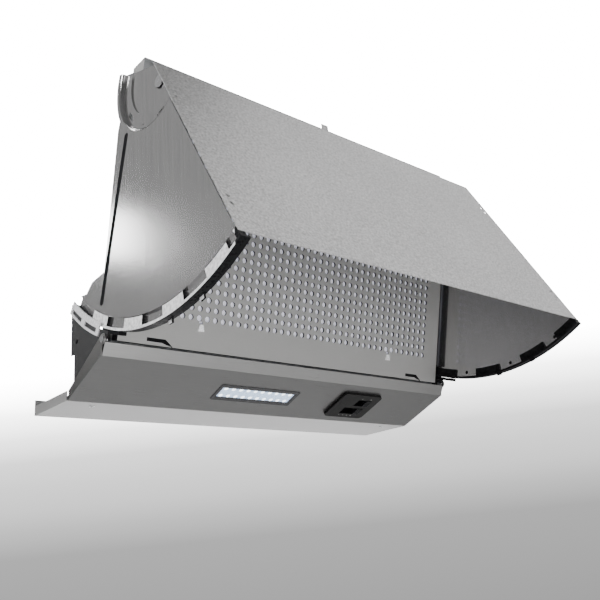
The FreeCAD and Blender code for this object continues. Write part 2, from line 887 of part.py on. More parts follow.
def arc_trim(side):
    """Castellated plastic channel on the round edge of a side plate."""
    out = trim_half
    inner_face = band_out - visor_sheet
    web_radii = (trim_outer_radius - trim_web, trim_outer_radius)
    angles = (trim_tail_angle, trim_front_angle)
    web = arc_block(web_radii, angles, side_span(side, out - trim_width, out))
    pieces = []
    leg_radii = (leg_radius, trim_outer_radius - trim_web / 2)
    for angle in outer_tab_angles:
        x = side_span(side, band_out, band_out + tab_thickness)
        pieces.append(arc_block(leg_radii, around(angle, outer_tab_span), x))
    end = (trim_front_angle - end_tab_span, trim_front_angle)
    pieces.append(arc_block(leg_radii, end, side_span(side, band_out, out)))
    for index, angle in enumerate(inner_leg_angles):
        span = inner_leg_span if index else inner_end_span
        x = side_span(side, inner_face - trim_inside, inner_face)
        pieces.append(arc_block(leg_radii, around(angle, span), x))
    for angle in hook_angles:
        x = side_span(side, out - trim_width, out - trim_width + hook_width)
        radii = (trim_outer_radius - trim_web / 2, trim_outer_radius + hook_height)
        pieces.append(arc_block(radii, around(angle, hook_span), x))
    trim = web.multiFuse(pieces)
    bottom = panel_length - panel_above_pivot + slide_clearance
    panel = sheet_on(flap, (0, bottom), (-trim_outer_radius, visor_sheet), side_span(side, 0, base_half))
    return trim.cut(panel).removeSplitter()


def cheek(side):
    """Upright end plate of the base, cut to a curve under the arc trim."""
    x = side_span(side, cheek_inner, cheek_half)
    ear_y, ear_z = lamp(ear_along, ear_above)
    rear = -strip_depth - cheek_rear_gap
    notch = rear - cheek_notch_depth
    top_z_rear = polar(trim_outer_radius, cheek_top_angle)[1]
    low_front = lamp(cheek_lift, cheek_lift)
    along = (notch - lamp_fold_y - cheek_lift * math.sin(lamp_turn)) / math.cos(lamp_turn)
    outline = [
        low_front,
        (ear_y + cheek_front_back, ear_z - cheek_front_drop),
        (ear_y - cheek_front_reach, ear_z + cheek_front_rise),
        (ear_y - cheek_front_reach, ear_z + cheek_front_height),
        (rear, top_z_rear),
        (rear, up(cheek_notch_height)),
        (notch, up(cheek_notch_height)),
        lamp(along, cheek_lift),
    ]
    arc = rod_x((pivot_y, pivot_z), trim_outer_radius + cheek_arc_gap, x)
    hole = (ear_y + cheek_hole_back, ear_z + cheek_hole_rise)
    plate = slab(outline, x).fuse(rod_x((ear_y, ear_z), cheek_ear_radius, x)).removeSplitter()
    plate = plate.cut(rod_x((ear_y, ear_z), ear_pin_radius, x))
    return plate.cut(arc).cut(rod_x(hole, cheek_hole_radius, x))


def arc_guide(side):
    """Curved guide on the outside of a cheek, reaching over the edge of the arc trim."""
    x = side_span(side, cheek_half, cheek_half + guide_thickness)
    radii = (trim_outer_radius - guide_cover, trim_outer_radius + guide_drop)
    window = (radii[0] + guide_window_drop, radii[1] - guide_window_border)
    guide = arc_block(radii, guide_angles, x)
    for angles in guide_window_angles:
        guide = guide.cut(arc_block(window, angles, x))
    return guide


def glide_block(side):
    """Block on a cheek that the arc trim slides over."""
    radii = (trim_outer_radius + glide_gap, trim_outer_radius + glide_gap + glide_height)
    inner = trim_half - trim_width + hook_width + glide_hook_gap
    return arc_block(radii, glide_angles, side_span(side, inner, cheek_inner))


def hole_grid():
    """(x, along) centres of the grille's holes."""
    first = -grille_pitch * (grille_columns - 1) / 2
    for row in range(grille_rows):
        for column in range(grille_columns):
            yield first + column * grille_pitch, grille_first_row + row * grille_pitch


def filter_grille():
    """Perforated tray with side and bottom flanges, hinged along its top."""
    half = casing_half
    along = (grille_bottom, grille_height - grille_bottom)
    turn = grille_turn
    rise = FreeCAD.Vector(0, -math.sin(turn), math.cos(turn))
    normal = FreeCAD.Vector(0, math.cos(turn), math.sin(turn))

    def place(x, s):
        y, z = grille(s, 0)
        return FreeCAD.Vector(x, y, z)

    corners = [place(-half, along[0]), place(half, along[0]), place(half, along[1]), place(-half, along[1])]
    edge = Part.Wire(Part.makePolygon(corners + corners[:1]))
    holes = [Part.Wire(Part.makeCircle(grille_hole_radius, place(x, s), normal)) for x, s in hole_grid()]
    face = Part.Face([edge] + holes)
    face.validate()
    tray = face.extrude(normal * casing_sheet)
    bottom = sheet_on(grille, (along[0], along[0] + casing_sheet), (0, grille_flange), (-half, half))
    flanges = [bottom]
    for name, side in SIDES:
        x = side_span(side, half - casing_sheet, half)
        flanges.append(sheet_on(grille, along, (0, grille_flange), x))
        flanges.append(rod_x(grille(grille_height, hinge_ear_set), grille_ear_radius, x))
    tray = tray.multiFuse(flanges)
    through = (-overrun, grille_flange / 2)
    for name, side in SIDES:
        x = side_span(side, half - overrun, half + overrun)
        hole = hinge_pin_radius + running_clearance
        tray = tray.cut(rod_x(grille(grille_height, hinge_ear_set), hole, x))
    for x, s in catch_positions:
        slot = (s - catch_stem / 2 - slide_clearance, s + catch_stem / 2 + catch_travel + slide_clearance)
        tray = tray.cut(sheet_on(grille, slot, through, around(x, catch_stem + 2 * slide_clearance)))
    for inset in slit_sets:
        tray = tray.cut(grille_slit(inset - half, normal, place))
    return tray.removeSplitter()


def grille_slit(start, normal, place):
    """Cut that runs level and then drops to the grille's bottom edge."""
    knee = start + slit_run
    foot = knee + slit_drop_run
    base = grille_bottom - overrun
    points = [
        place(start, slit_height),
        place(knee, slit_height),
        place(foot, grille_bottom + casing_sheet),
        place(foot, base),
        place(foot - slit_width, base),
        place(foot - slit_width, grille_bottom + casing_sheet),
        place(knee - slit_width, slit_height - slit_width),
        place(start, slit_height - slit_width),
    ]
    face = Part.Face(Part.makePolygon(points + points[:1]))
    face.translate(normal * -overrun)
    return face.extrude(normal * (overrun + 2 * casing_sheet))


def grease_filter():
    """Flat filter cassette held in the tray."""
    half = casing_half - casing_sheet - slide_clearance
    along = (filter_low, grille_height - hinge_ear_set - filter_border)
    return sheet_on(grille, along, (filter_set_back, filter_set_back + filter_thickness), (-half, half))


def filter_catch(place):
    """Sliding catch: teardrop button, stem and inner plate."""
    x, s = place
    low = s - catch_height / 2
    button_points = ((-catch_width / 2, low), (catch_width / 2, low), (catch_stem / 2, low + catch_height),
                     (-catch_stem / 2, low + catch_height))
    normal = FreeCAD.Vector(0, math.cos(grille_turn), math.sin(grille_turn))
    corners = []
    for across, along in button_points:
        y, z = grille(along, -catch_proud - slide_clearance)
        corners.append(FreeCAD.Vector(x + across, y, z))
    button = Part.Face(Part.makePolygon(corners + corners[:1])).extrude(normal * catch_proud)
    stem_along = around(s, catch_stem)
    back = casing_sheet + slide_clearance
    stem = sheet_on(grille, stem_along, (-slide_clearance, back), around(x, catch_stem))
    plate = sheet_on(grille, around(s, 2 * catch_stem), (back, back + catch_plate), around(x, catch_width))
    return button.multiFuse([stem, plate]).removeSplitter()


def hinge_ears():
    """Ears on the header with the pins that the grille swings on."""
    ears = []
    header_front = frame_front - header_sheet
    inner = casing_half - casing_sheet - slide_clearance - hinge_ear_plate
    for name, side in SIDES:
        x = side_span(side, inner, inner + hinge_ear_plate)
        along = around(grille_height, hinge_ear_height)
        ear = sheet_on(grille, along, (hinge_ear_set - hinge_pin_radius * 2, header_front), x)
        axis = grille(grille_height, hinge_ear_set)
        pin = rod_x(axis, hinge_pin_radius, side_span(side, inner, casing_half))
        ears.append(ear.fuse(pin).removeSplitter())
    return Part.makeCompound(ears)


def frame_outline(first, second):
    """Outline of the casing frame between two depths behind the grille."""
    roof = top_z - casing_sheet
    corners = ((floor_z, first), (floor_z, second), (roof, second), (roof, first))
    return [grille_at(z, depth) for z, depth in corners]


def frame_side(side):
    """End wall of the shallow frame behind the grille."""
    x = side_span(side, casing_half - casing_sheet, casing_half)
    return slab(frame_outline(frame_front, frame_rear), x)


def frame_back(side):
    """Rear wall of the frame beside the fan box."""
    x = side_span(side, box_half - casing_sheet, casing_half)
    return slab(frame_outline(frame_rear, frame_rear + casing_sheet), x)


def front_header():
    """Cross sheet above the grille."""
    low = grille(grille_height - header_drop, frame_front)
    low_front = grille(grille_height - header_drop, frame_front - header_sheet)
    roof = top_z - casing_sheet
    outline = [low_front, low, grille_at(roof, frame_front), grille_at(roof, frame_front - header_sheet)]
    return slab(outline, (-casing_half, casing_half))


def frame_cover_y(z):
    """Y limits of the frame at a level."""
    front = grille_at(z, frame_front - header_sheet)[0]
    rear = grille_at(z, frame_rear + casing_sheet)[0]
    return (front, rear)


def frame_cover(z):
    """Level sheet that closes the frame at its top or bottom."""
    return block((-casing_half, casing_half), frame_cover_y((z[0] + z[1]) / 2), z)


def box_outline():
    """Outline of the fan box behind the frame."""
    roof = top_z - casing_sheet
    depth = frame_rear + casing_sheet
    return [grille_at(floor_z, depth), (0, floor_z), (0, roof), grille_at(roof, depth)]


def box_side(side):
    """End wall of the fan box."""
    return slab(box_outline(), side_span(side, box_half - casing_sheet, box_half))


def box_back():
    """Rear wall of the fan box, with the wall hanging holes."""
    half = box_half - casing_sheet
    wall = block((-half, half), (-casing_sheet, 0), (floor_z, top_z - casing_sheet))
    for name, side in SIDES:
        hole = (side * wall_hole_spacing / 2, 0)
        wall = wall.cut(rod_y(hole, wall_hole_radius, (-overrun, overrun)))
    return wall


def box_cover(z):
    """Level sheet that closes the fan box at its top or bottom."""
    middle = (z[0] + z[1]) / 2
    front = grille_at(middle, frame_rear + casing_sheet)[0]
    return block((-box_half, box_half), (front, 0), z)


def box_top():
    """Top of the fan box, with the outlet hole."""
    z = (top_z - casing_sheet, top_z)
    inside = collar_radius - collar_wall
    return box_cover(z).cut(rod_z((0, outlet_y), inside, (z[0] - overrun, z[1] + overrun)))


def outlet_collar():
    """Flanged collar for the duct."""
    flange = rod_z((0, outlet_y), collar_radius + collar_flange, (top_z, top_z + collar_flange_thickness))
    tube = rod_z((0, outlet_y), collar_radius, (top_z, top_z + collar_height))
    z = (top_z - overrun, top_z + collar_height + overrun)
    bore = rod_z((0, outlet_y), collar_radius - collar_wall, z)
    return flange.fuse(tube).cut(bore).removeSplitter()


damper_z = top_z + damper_height


def damper_pin():
    """Pin across the collar that both damper leaves hang on."""
    reach = collar_radius - collar_wall - damper_pin_end_gap
    return rod_x((outlet_y, damper_z), damper_pin_radius, (-reach, reach))


def damper_leaf(side):
    """Half-round damper leaf behind (+1) or in front of (-1) the pin, with its knuckles."""
    reach = collar_radius - collar_wall - damper_gap
    z = around(damper_z, damper_sheet)
    y = sorted((outlet_y + side * damper_edge, outlet_y + side * (reach + overrun)))
    leaf = rod_z((0, outlet_y), reach, z).common(block((-reach, reach), y, z))
    outer = damper_pin_radius + running_clearance + knuckle_wall
    pieces = []
    holes = []
    for place in knuckle_places:
        x = around(place + (knuckle_shift if side < 0 else 0), knuckle_length)
        pieces.append(rod_x((outlet_y, damper_z), outer, x))
        tongue = sorted((outlet_y, outlet_y + side * (damper_edge + damper_sheet)))
        pieces.append(block(x, tongue, z))
        holes.append(rod_x((outlet_y, damper_z), damper_pin_radius + running_clearance, x))
    return leaf.multiFuse(pieces).cut(Part.makeCompound(holes)).removeSplitter()


fan_z = up(fan_height)


def scroll_radius(angle, offset):
    """Radius of the scroll, growing from the tongue round to the outlet wall."""
    share = (angle - scroll_start) / (360 - scroll_start)
    return scroll_small_radius + (scroll_large_radius - scroll_small_radius) * share + offset


def scroll_point(angle, offset, y):
    """Point on the scroll at an angle from the right, turning over the top."""
    turn = math.radians(angle)
    radius = scroll_radius(angle, offset)
    return FreeCAD.Vector(fan_x + radius * math.cos(turn), y, fan_z + radius * math.sin(turn))


def scroll_edges(offset, y):
    """Arcs of one face of the scroll from the tongue to the outlet wall."""
    step = (360 - scroll_start) / scroll_arcs
    edges = []
    for index in range(scroll_arcs):
        start = scroll_start + index * step
        angles = (start, start + step / 2, start + step)
        edges.append(Part.Arc(*[scroll_point(a, offset, y) for a in angles]).toShape())
    return edges


def fan_scroll():
    """Spiral wall of the fan housing, with the outlet walls up to the box top."""
    y = (scroll_front_y, scroll_rear_y)
    ends = []
    for angle in (scroll_start, 360):
        first, last = [scroll_point(angle, offset, y[0]) for offset in (0, scroll_wall)]
        ends.append(Part.LineSegment(first, last).toShape())
    edges = scroll_edges(0, y[0]) + scroll_edges(scroll_wall, y[0]) + ends
    wire = Part.Wire(Part.__sortEdges__(edges))
    band = Part.Face(wire).extrude(FreeCAD.Vector(0, y[1] - y[0], 0))
    roof = top_z - casing_sheet
    tongue = scroll_point(scroll_start, 0, y[0])
    tongue_wall = block((tongue.x - scroll_wall, tongue.x), y, (tongue.z, roof))
    outer = fan_x + scroll_large_radius
    outer_wall = block((outer, outer + scroll_wall), y, (fan_z, roof))
    return band.multiFuse([tongue_wall, outer_wall]).removeSplitter()


def scroll_plate(y):
    """Flat plate over one end of the scroll."""
    half = scroll_large_radius + scroll_wall
    left = scroll_radius(180, scroll_wall)
    low = scroll_radius(270, scroll_wall)
    return block((fan_x - left, fan_x + half), y, (fan_z - low, top_z - casing_sheet))


def scroll_inlet_plate():
    """Front plate of the scroll with the round inlet."""
    y = (scroll_front_y - scroll_wall, scroll_front_y)
    return scroll_plate(y).cut(rod_y((fan_x, fan_z), inlet_radius, (y[0] - overrun, y[1] + overrun)))


def scroll_back_plate():
    """Rear plate of the scroll."""
    return scroll_plate((scroll_rear_y, scroll_rear_y + scroll_wall))


def stand_offs():
    """Posts from the scroll to the fan box's rear wall."""
    y = (scroll_rear_y + scroll_wall, -casing_sheet)
    posts = []
    for across in (-stand_off_reach, stand_off_reach):
        for rise in (-stand_off_reach, stand_off_reach):
            posts.append(rod_y((fan_x + across, fan_z + rise), stand_off_radius, y))
    return Part.makeCompound(posts)


def fan_wheel():
    """Centrifugal wheel: web, end rings and leaning blades."""
    centre = (fan_x, fan_z)
    web = rod_y(centre, wheel_radius, (wheel_web_y, wheel_web_y + wheel_ring))
    web = web.cut(rod_y(centre, hub_radius, (wheel_web_y - overrun, wheel_web_y + overrun)))
    pieces = []
    for start in (wheel_front_y, wheel_rear_y - wheel_ring):
        ring_y = (start, start + wheel_ring)
        ring = rod_y(centre, wheel_radius, ring_y)
        pieces.append(ring.cut(rod_y(centre, wheel_radius - blade_depth, ring_y)))
    axis = FreeCAD.Vector(fan_x, 0, fan_z)
    inner = wheel_radius - blade_depth / 2
    for index in range(blade_count):
        x = (fan_x + inner - blade_depth / 2, fan_x + inner + blade_depth / 2)
        blade = block(x, (wheel_front_y, wheel_rear_y), around(fan_z, blade_thickness))
        blade.rotate(FreeCAD.Vector(fan_x + inner, 0, fan_z), FreeCAD.Vector(0, 1, 0), blade_lean)
        blade.rotate(axis, FreeCAD.Vector(0, 1, 0), index * 360 / blade_count)
        pieces.append(blade)
    return web.multiFuse(pieces).removeSplitter()


def wheel_hub():
    """Hub in the wheel's web."""
    middle = wheel_web_y + wheel_ring / 2
    y = (middle - hub_length, middle + wheel_ring)
    hub = rod_y((fan_x, fan_z), hub_radius, y)
    return hub.cut(rod_y((fan_x, fan_z), shaft_radius, y))


def fan_shaft():
    """Motor shaft, turning with the wheel."""
    return rod_y((fan_x, fan_z), shaft_radius, (shaft_front_y, shaft_rear_y))


def fan_motor():
    """Motor inside the wheel, bored for the shaft."""
    y = (motor_front_y, scroll_rear_y)
    motor = rod_y((fan_x, fan_z), motor_radius, y)
    bore = rod_y((fan_x, fan_z), shaft_radius + running_clearance, (y[0], shaft_rear_y + overrun))
    return motor.cut(bore)


def terminal_box():
    """Mains terminal box on the rear wall."""
    wide, deep, tall = terminal_size
    right = box_half - terminal_set
    x = (right - wide, right)
    z = (up(terminal_height), up(terminal_height + tall))
    return block(x, (-casing_sheet - deep, -casing_sheet), z)


def run_capacitor():
    """Motor capacitor lying on the fan box's floor."""
    centre = (-casing_sheet - capacitor_radius, floor_z + capacitor_radius)
    left = capacitor_set - box_half
    return rod_x(centre, capacitor_radius, (left, left + capacitor_length))


def build():
    """Write every sub-part."""
    os.makedirs("parts", exist_ok=True)
    save("base_strip", base_strip())
    save("rear_rail", rear_rail())
    save("rail_hangers", rail_hangers())
    save("strip_screws", strip_screws())
    save("front_rail", front_rail())
    save("lamp_panel", lamp_panel())
    save("lamp_hinge_pins", lamp_hinge_pins())
    save("lamp_bezel", lamp_bezel())
    save("lamp_lens", lamp_lens())
    save("led_board", led_board())
    save("led_driver", led_driver())
    save("control_box", control_box())
    save("control_plate", control_plate())
    fan_slot = (fan_slot_x, fan_slot_length, fan_slot_along, fan_slot_width)
    save("fan_slider", slide_knob(*fan_slot, fan_knob_length))
    lamp_slot = (lamp_slot_x, lamp_slot_length, lamp_slot_along, lamp_slot_width)
    save("lamp_slider", slide_knob(*lamp_slot, lamp_knob_length))
    save("visor_front_panel", visor_front_panel())
    for name, side in SIDES:
        save("visor_" + name + "_side", visor_side(side))
        save(name + "_arc_trim", arc_trim(side))
        save(name + "_cheek", cheek(side))
        save("frame_" + name + "_side", frame_side(side))
        save("frame_" + name + "_back", frame_back(side))
        save("box_" + name + "_side", box_side(side))
    save("slot_liners", pair(slot_liner))
    save("pivot_bushes", pair(pivot_bush))
    save("pivot_pins", pair(pivot_pin))
    save("pivot_brackets", pair(pivot_bracket))
    save("arc_guides", pair(arc_guide))
    save("glide_blocks", pair(glide_block))
    save("bracket_rivets", bracket_rivets())
    save("filter_grille", filter_grille())
    save("grease_filter", grease_filter())
    for (name, side), place in zip(SIDES, catch_positions):
        save(name + "_catch", filter_catch(place))
    save("hinge_ears", hinge_ears())
    save("front_header", front_header())
    save("frame_top", frame_cover((top_z - casing_sheet, top_z)))
    save("frame_floor", frame_cover((floor_z - casing_sheet, floor_z)))
    save("box_back", box_back())
    save("box_floor", box_cover((floor_z - casing_sheet, floor_z)))
    save("box_top", box_top())
    save("outlet_collar", outlet_collar())
    save("damper_pin", damper_pin())
    save("rear_damper", damper_leaf(1))
    save("front_damper", damper_leaf(-1))
    save("fan_scroll", fan_scroll())
    save("scroll_inlet_plate", scroll_inlet_plate())
    save("scroll_back_plate", scroll_back_plate())
    save("stand_offs", stand_offs())
    save("fan_wheel", fan_wheel())
    save("wheel_hub", wheel_hub())
    save("fan_shaft", fan_shaft())
    save("fan_motor", fan_motor())
    save("terminal_box", terminal_box())
    save("run_capacitor", run_capacitor())


build()
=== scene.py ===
"""Looks of the built-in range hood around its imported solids."""

import logging
import math
from dataclasses import dataclass, field
from enum import Enum
from typing import Iterable, Sequence

import bmesh
import bpy
from mathutils import Matrix, Vector


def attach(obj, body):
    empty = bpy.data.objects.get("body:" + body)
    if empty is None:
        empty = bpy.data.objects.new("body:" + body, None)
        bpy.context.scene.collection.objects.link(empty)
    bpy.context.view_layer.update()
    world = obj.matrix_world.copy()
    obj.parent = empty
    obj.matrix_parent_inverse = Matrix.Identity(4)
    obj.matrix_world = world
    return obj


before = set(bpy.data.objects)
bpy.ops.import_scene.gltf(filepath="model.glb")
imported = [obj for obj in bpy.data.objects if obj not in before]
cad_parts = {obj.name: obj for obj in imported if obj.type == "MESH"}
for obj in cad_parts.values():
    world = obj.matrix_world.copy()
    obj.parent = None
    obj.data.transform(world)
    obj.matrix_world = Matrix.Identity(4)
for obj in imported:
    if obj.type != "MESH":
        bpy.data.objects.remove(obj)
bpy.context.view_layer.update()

log = logging.getLogger("range_hood")

Colour = tuple[float, float, float]
Point = tuple[float, float, float]
Nodes = bpy.types.Nodes
Links = bpy.types.NodeLinks
Socket = bpy.types.NodeSocket
Limits = tuple[float, float]
Loop = list[bmesh.types.BMVert]

# Range of the noise that colour and roughness follow, and the share of its slow part.
NOISE_LOW = 0.3
NOISE_HIGH = 0.7
PLAIN_SLOW = 0.12
PATTERN_SLOW = 0.35
# Scales of the noise and of the larger patterns, and how far the grain is drawn out.
NOISE_DETAIL = 3.0
SLOW_SCALE = 9.0
SPANGLE_SCALE = 70.0
BAND_SCALE = 120.0
GRAIN_STRETCH = 0.02
NO_TURN = (0.0, 0.0, 0.0)
SIDE_GRAIN_TURN = (math.radians(12.0), 0.0, 0.0)
# Gloss and bump that the finishes share.
LEAST_ROUGHNESS = 0.02
COAT_ROUGHNESS = 0.08
BUMP_STRENGTH = 0.5
# Softened edges of the solids.
EDGE_SEGMENTS = 2
EDGE_ANGLE = math.radians(35.0)
# Foot, shoulder and crown of a dome, as shares of its radius and of its rise.
DOME_PROFILE = ((1.0, 0.0), (0.85, 0.55), (0.5, 0.9))
# Share of a ridge's breadth by which its crest is narrower on each side.
CREST_INSET = 0.25


class Grain(Enum):
    """Direction in which a sheet's fine scratches run."""

    NONE = "none"
    ALONG_X = "along_x"
    DOWN_SIDE = "down_side"


class Pattern(Enum):
    """Larger structure in a surface."""

    NONE = "none"
    SPANGLE = "zinc_spangle"
    MESH = "expanded_mesh"
    STACK = "iron_stack"


class Role(Enum):
    """Named finishes used on the hood."""

    VISOR_FRONT = "visor_front_satin"
    VISOR_SIDE = "visor_side_brushed"
    STRIP = "strip_silver_paint"
    LAMP_PANEL = "lamp_panel_shaded_silver_paint"
    GRILLE = "grille_silver_paint"
    FRAME_SIDE = "frame_side_silver_paint"
    ZINC = "zinc_sheet"
    BRIGHT = "bright_plating"
    CATCH = "catch_plating"
    FILTER = "filter_mesh"
    LEFT_TRIM = "left_trim_moulding"
    RIGHT_TRIM = "right_trim_moulding"
    GLOSS_BLACK = "gloss_black_moulding"
    DULL_BLACK = "dull_black_moulding"
    SLEEVE = "hole_shade_sleeve"
    BEZEL = "bezel_moulding"
    CHARCOAL = "charcoal_moulding"
    CONTROL = "control_plate_moulding"
    DARK_GREY = "dark_grey_moulding"
    PALE_GUIDE = "pale_guide_moulding"
    LENS = "lamp_lens"
    CELL = "lamp_cell"
    WHITE_CASE = "white_case"
    MARK = "pale_mark"
    RECESS = "screw_recess"
    IRON = "motor_iron"


@dataclass(frozen=True)
class Finish:
    """A procedural surface: colour, gloss, grain and small unevenness.

    Args:
        role: Name of the finish.
        colour: Base colour, linear.
        metallic: Share of metal in the shader.
        roughness: Mean roughness.
        spread: How far the roughness varies.
        bump: Depth of the fine bump, in metres.
        speck: Scale of the fine unevenness.
        coat: Weight of a clear coat.
        glow: Strength of the emitted light.
        glow_colour: Colour of the emitted light.
        pattern: Larger structure in the surface.
        shine: Specular level of the uncoated surface.
        mottle: How far the colour varies, as a share.
        grain: Direction of the fine scratches.
    """

    role: Role
    colour: Colour
    metallic: float = 0.0
    roughness: float = 0.5
    spread: float = 0.08
    bump: float = 0.00002
    speck: float = 900.0
    coat: float = 0.0
    glow: float = 0.0
    glow_colour: Colour = (1.0, 1.0, 1.0)
    pattern: Pattern = Pattern.NONE
    shine: float = 0.5
    mottle: float = 0.06
    grain: Grain = Grain.NONE

    def build(self) -> bpy.types.Material:
        """Make the material.

        Returns:
            The material with its nodes.
        """
        material = bpy.data.materials.new(self.role.value)
        material.use_nodes = True
        nodes = material.node_tree.nodes
        links = material.node_tree.links
        shader = nodes["Principled BSDF"]
        shader.inputs["Metallic"].default_value = self.metallic
        shader.inputs["Specular IOR Level"].default_value = self.shine
        if self.coat:
            shader.inputs["Coat Weight"].default_value = self.coat
            shader.inputs["Coat Roughness"].default_value = COAT_ROUGHNESS
        if self.glow:
            shader.inputs["Emission Color"].default_value = (*self.glow_colour, 1.0)
            shader.inputs["Emission Strength"].default_value = self.glow
        place = nodes.new("ShaderNodeTexCoord")
        fine = self._noise(nodes, links, place, self._stretch())
        broad = self._broad(nodes, links, place)
        slow = PLAIN_SLOW if self.pattern is Pattern.NONE else PATTERN_SLOW
        offset = self._math(nodes, links, "MULTIPLY", broad, slow)
        mixed = self._math(nodes, links, "MULTIPLY_ADD", fine, 1.0 - slow, offset)
        rough = nodes.new("ShaderNodeMapRange")
        rough.inputs["From Min"].default_value = NOISE_LOW
        rough.inputs["From Max"].default_value = NOISE_HIGH
        rough.inputs["To Min"].default_value = max(LEAST_ROUGHNESS, self.roughness - self.spread)
        rough.inputs["To Max"].default_value = min(1.0, self.roughness + self.spread)
        links.new(mixed, rough.inputs["Value"])
        ramp = nodes.new("ShaderNodeValToRGB")
        low, high = ramp.color_ramp.elements
        low.position = NOISE_LOW
        high.position = NOISE_HIGH
        low.color = (*[c * (1.0 - self.mottle) for c in self.colour], 1.0)
        high.color = (*[min(1.0, c * (1.0 + self.mottle)) for c in self.colour], 1.0)
        links.new(mixed, ramp.inputs["Fac"])
        colour = self._tint(nodes, links, place, ramp.outputs["Color"])
        links.new(colour, shader.inputs["Base Color"])
        links.new(rough.outputs["Result"], shader.inputs["Roughness"])
        bump = nodes.new("ShaderNodeBump")
        bump.inputs["Strength"].default_value = BUMP_STRENGTH
        bump.inputs["Distance"].default_value = self.bump
        links.new(fine, bump.inputs["Height"])
        links.new(bump.outputs["Normal"], shader.inputs["Normal"])
        return material

    def _tint(self, nodes: Nodes, links: Links, place: bpy.types.Node, colour: Socket) -> Socket:
        """Change the colour of some of the faces; a plain finish keeps it."""
        return colour

    def _stretch(self) -> tuple[Point, Point]:
        """Stretch the fine noise along the grain.

        Returns:
            Rotation and scale of the noise.
        """
        if self.grain is Grain.ALONG_X:
            return NO_TURN, (self.speck * GRAIN_STRETCH, self.speck, self.speck)
        if self.grain is Grain.DOWN_SIDE:
            return SIDE_GRAIN_TURN, (self.speck, self.speck, self.speck * GRAIN_STRETCH)
        return NO_TURN, (self.speck, self.speck, self.speck)

    def _broad(self, nodes: Nodes, links: Links, place: bpy.types.Node) -> Socket:
        """Add the slow unevenness or the larger pattern.

        Args:
            nodes: Nodes of the material.
            links: Links of the material.
            place: Texture coordinate node.

        Returns:
            Its value.
        """
        if self.pattern is Pattern.SPANGLE:
            cells = nodes.new("ShaderNodeTexVoronoi")
            cells.inputs["Scale"].default_value = SPANGLE_SCALE
            links.new(place.outputs["Object"], cells.inputs["Vector"])
            split = nodes.new("ShaderNodeSeparateColor")
            links.new(cells.outputs["Color"], split.inputs["Color"])
            return split.outputs["Red"]
        if self.pattern in (Pattern.MESH, Pattern.STACK):
            bands = nodes.new("ShaderNodeTexWave")
            bands.bands_direction = "DIAGONAL" if self.pattern is Pattern.MESH else "Y"
            bands.inputs["Scale"].default_value = BAND_SCALE
            links.new(place.outputs["Object"], bands.inputs["Vector"])
            return bands.outputs["Fac"]
        return self._noise(nodes, links, place, (NO_TURN, (SLOW_SCALE, SLOW_SCALE, SLOW_SCALE)))

    @staticmethod
    def _math(nodes: Nodes, links: Links, operation: str, value: Socket, factor: float,
              extra: Socket | None = None) -> Socket:
        """Add a sum on a value.

        Args:
            nodes: Nodes of the material.
            links: Links of the material.
            operation: Name of the sum.
            value: First value.
            factor: Second value.
            extra: Third value, if the sum takes one.

        Returns:
            The result.
        """
        node = nodes.new("ShaderNodeMath")
        node.operation = operation
        node.inputs[1].default_value = factor
        links.new(value, node.inputs[0])
        if extra is not None:
            links.new(extra, node.inputs[2])
        return node.outputs[0]

    @staticmethod
    def _noise(nodes: Nodes, links: Links, place: bpy.types.Node,
               stretch: tuple[Point, Point]) -> Socket:
        """Add a noise texture fed by object coordinates.

        Args:
            nodes: Nodes of the material.
            links: Links of the material.
            place: Texture coordinate node.
            stretch: Rotation and scale of the mapping.

        Returns:
            The noise's value.
        """
        mapping = nodes.new("ShaderNodeMapping")
        mapping.inputs["Rotation"].default_value = stretch[0]
        mapping.inputs["Scale"].default_value = stretch[1]
        noise = nodes.new("ShaderNodeTexNoise")
        noise.inputs["Scale"].default_value = 1.0
        noise.inputs["Detail"].default_value = NOISE_DETAIL
        links.new(place.outputs["Object"], mapping.inputs["Vector"])
        links.new(mapping.outputs["Vector"], noise.inputs["Vector"])
        return noise.outputs["Fac"]

    @staticmethod
    def _facing(nodes: Nodes, links: Links, place: bpy.types.Node, direction: Point, both: bool, low: float,
                high: float) -> Socket:
        """Add a mask of the faces that look along a direction of the piece's own frame.

        Args:
            nodes: Nodes of the material.
            links: Links of the material.
            place: Texture coordinate node.
            direction: The direction.
            both: True where faces that look the other way count too.
            low: Cosine where the mask starts.
            high: Cosine where the mask is full.

        Returns:
            The mask.
        """
        dot = nodes.new("ShaderNodeVectorMath")
        dot.operation = "DOT_PRODUCT"
        dot.inputs[1].default_value = direction
        links.new(place.outputs["Normal"], dot.inputs[0])
        value = dot.outputs["Value"]
        if both:
            value = Finish._math(nodes, links, "ABSOLUTE", value, 0.0)
        mask = nodes.new("ShaderNodeMapRange")
        mask.inputs["From Min"].default_value = low
        mask.inputs["From Max"].default_value = high
        links.new(value, mask.inputs["Value"])
        return mask.outputs["Result"]

    @staticmethod
    def _mix(nodes: Nodes, links: Links, mask: Socket, first: Colour,
             second: Socket) -> Socket:
        """Mix a plain colour, where the mask is empty, with a varied one.

        Args:
            nodes: Nodes of the material.
            links: Links of the material.
            mask: The mask.
            first: Colour where the mask is empty.
            second: Colour where the mask is full.

        Returns:
            The mixed colour.
        """
        mix = nodes.new("ShaderNodeMix")
        mix.data_type = "RGBA"
        mix.inputs["A"].default_value = (*first, 1.0)
        links.new(mask, mix.inputs["Factor"])
        links.new(second, mix.inputs["B"])
        return mix.outputs["Result"]


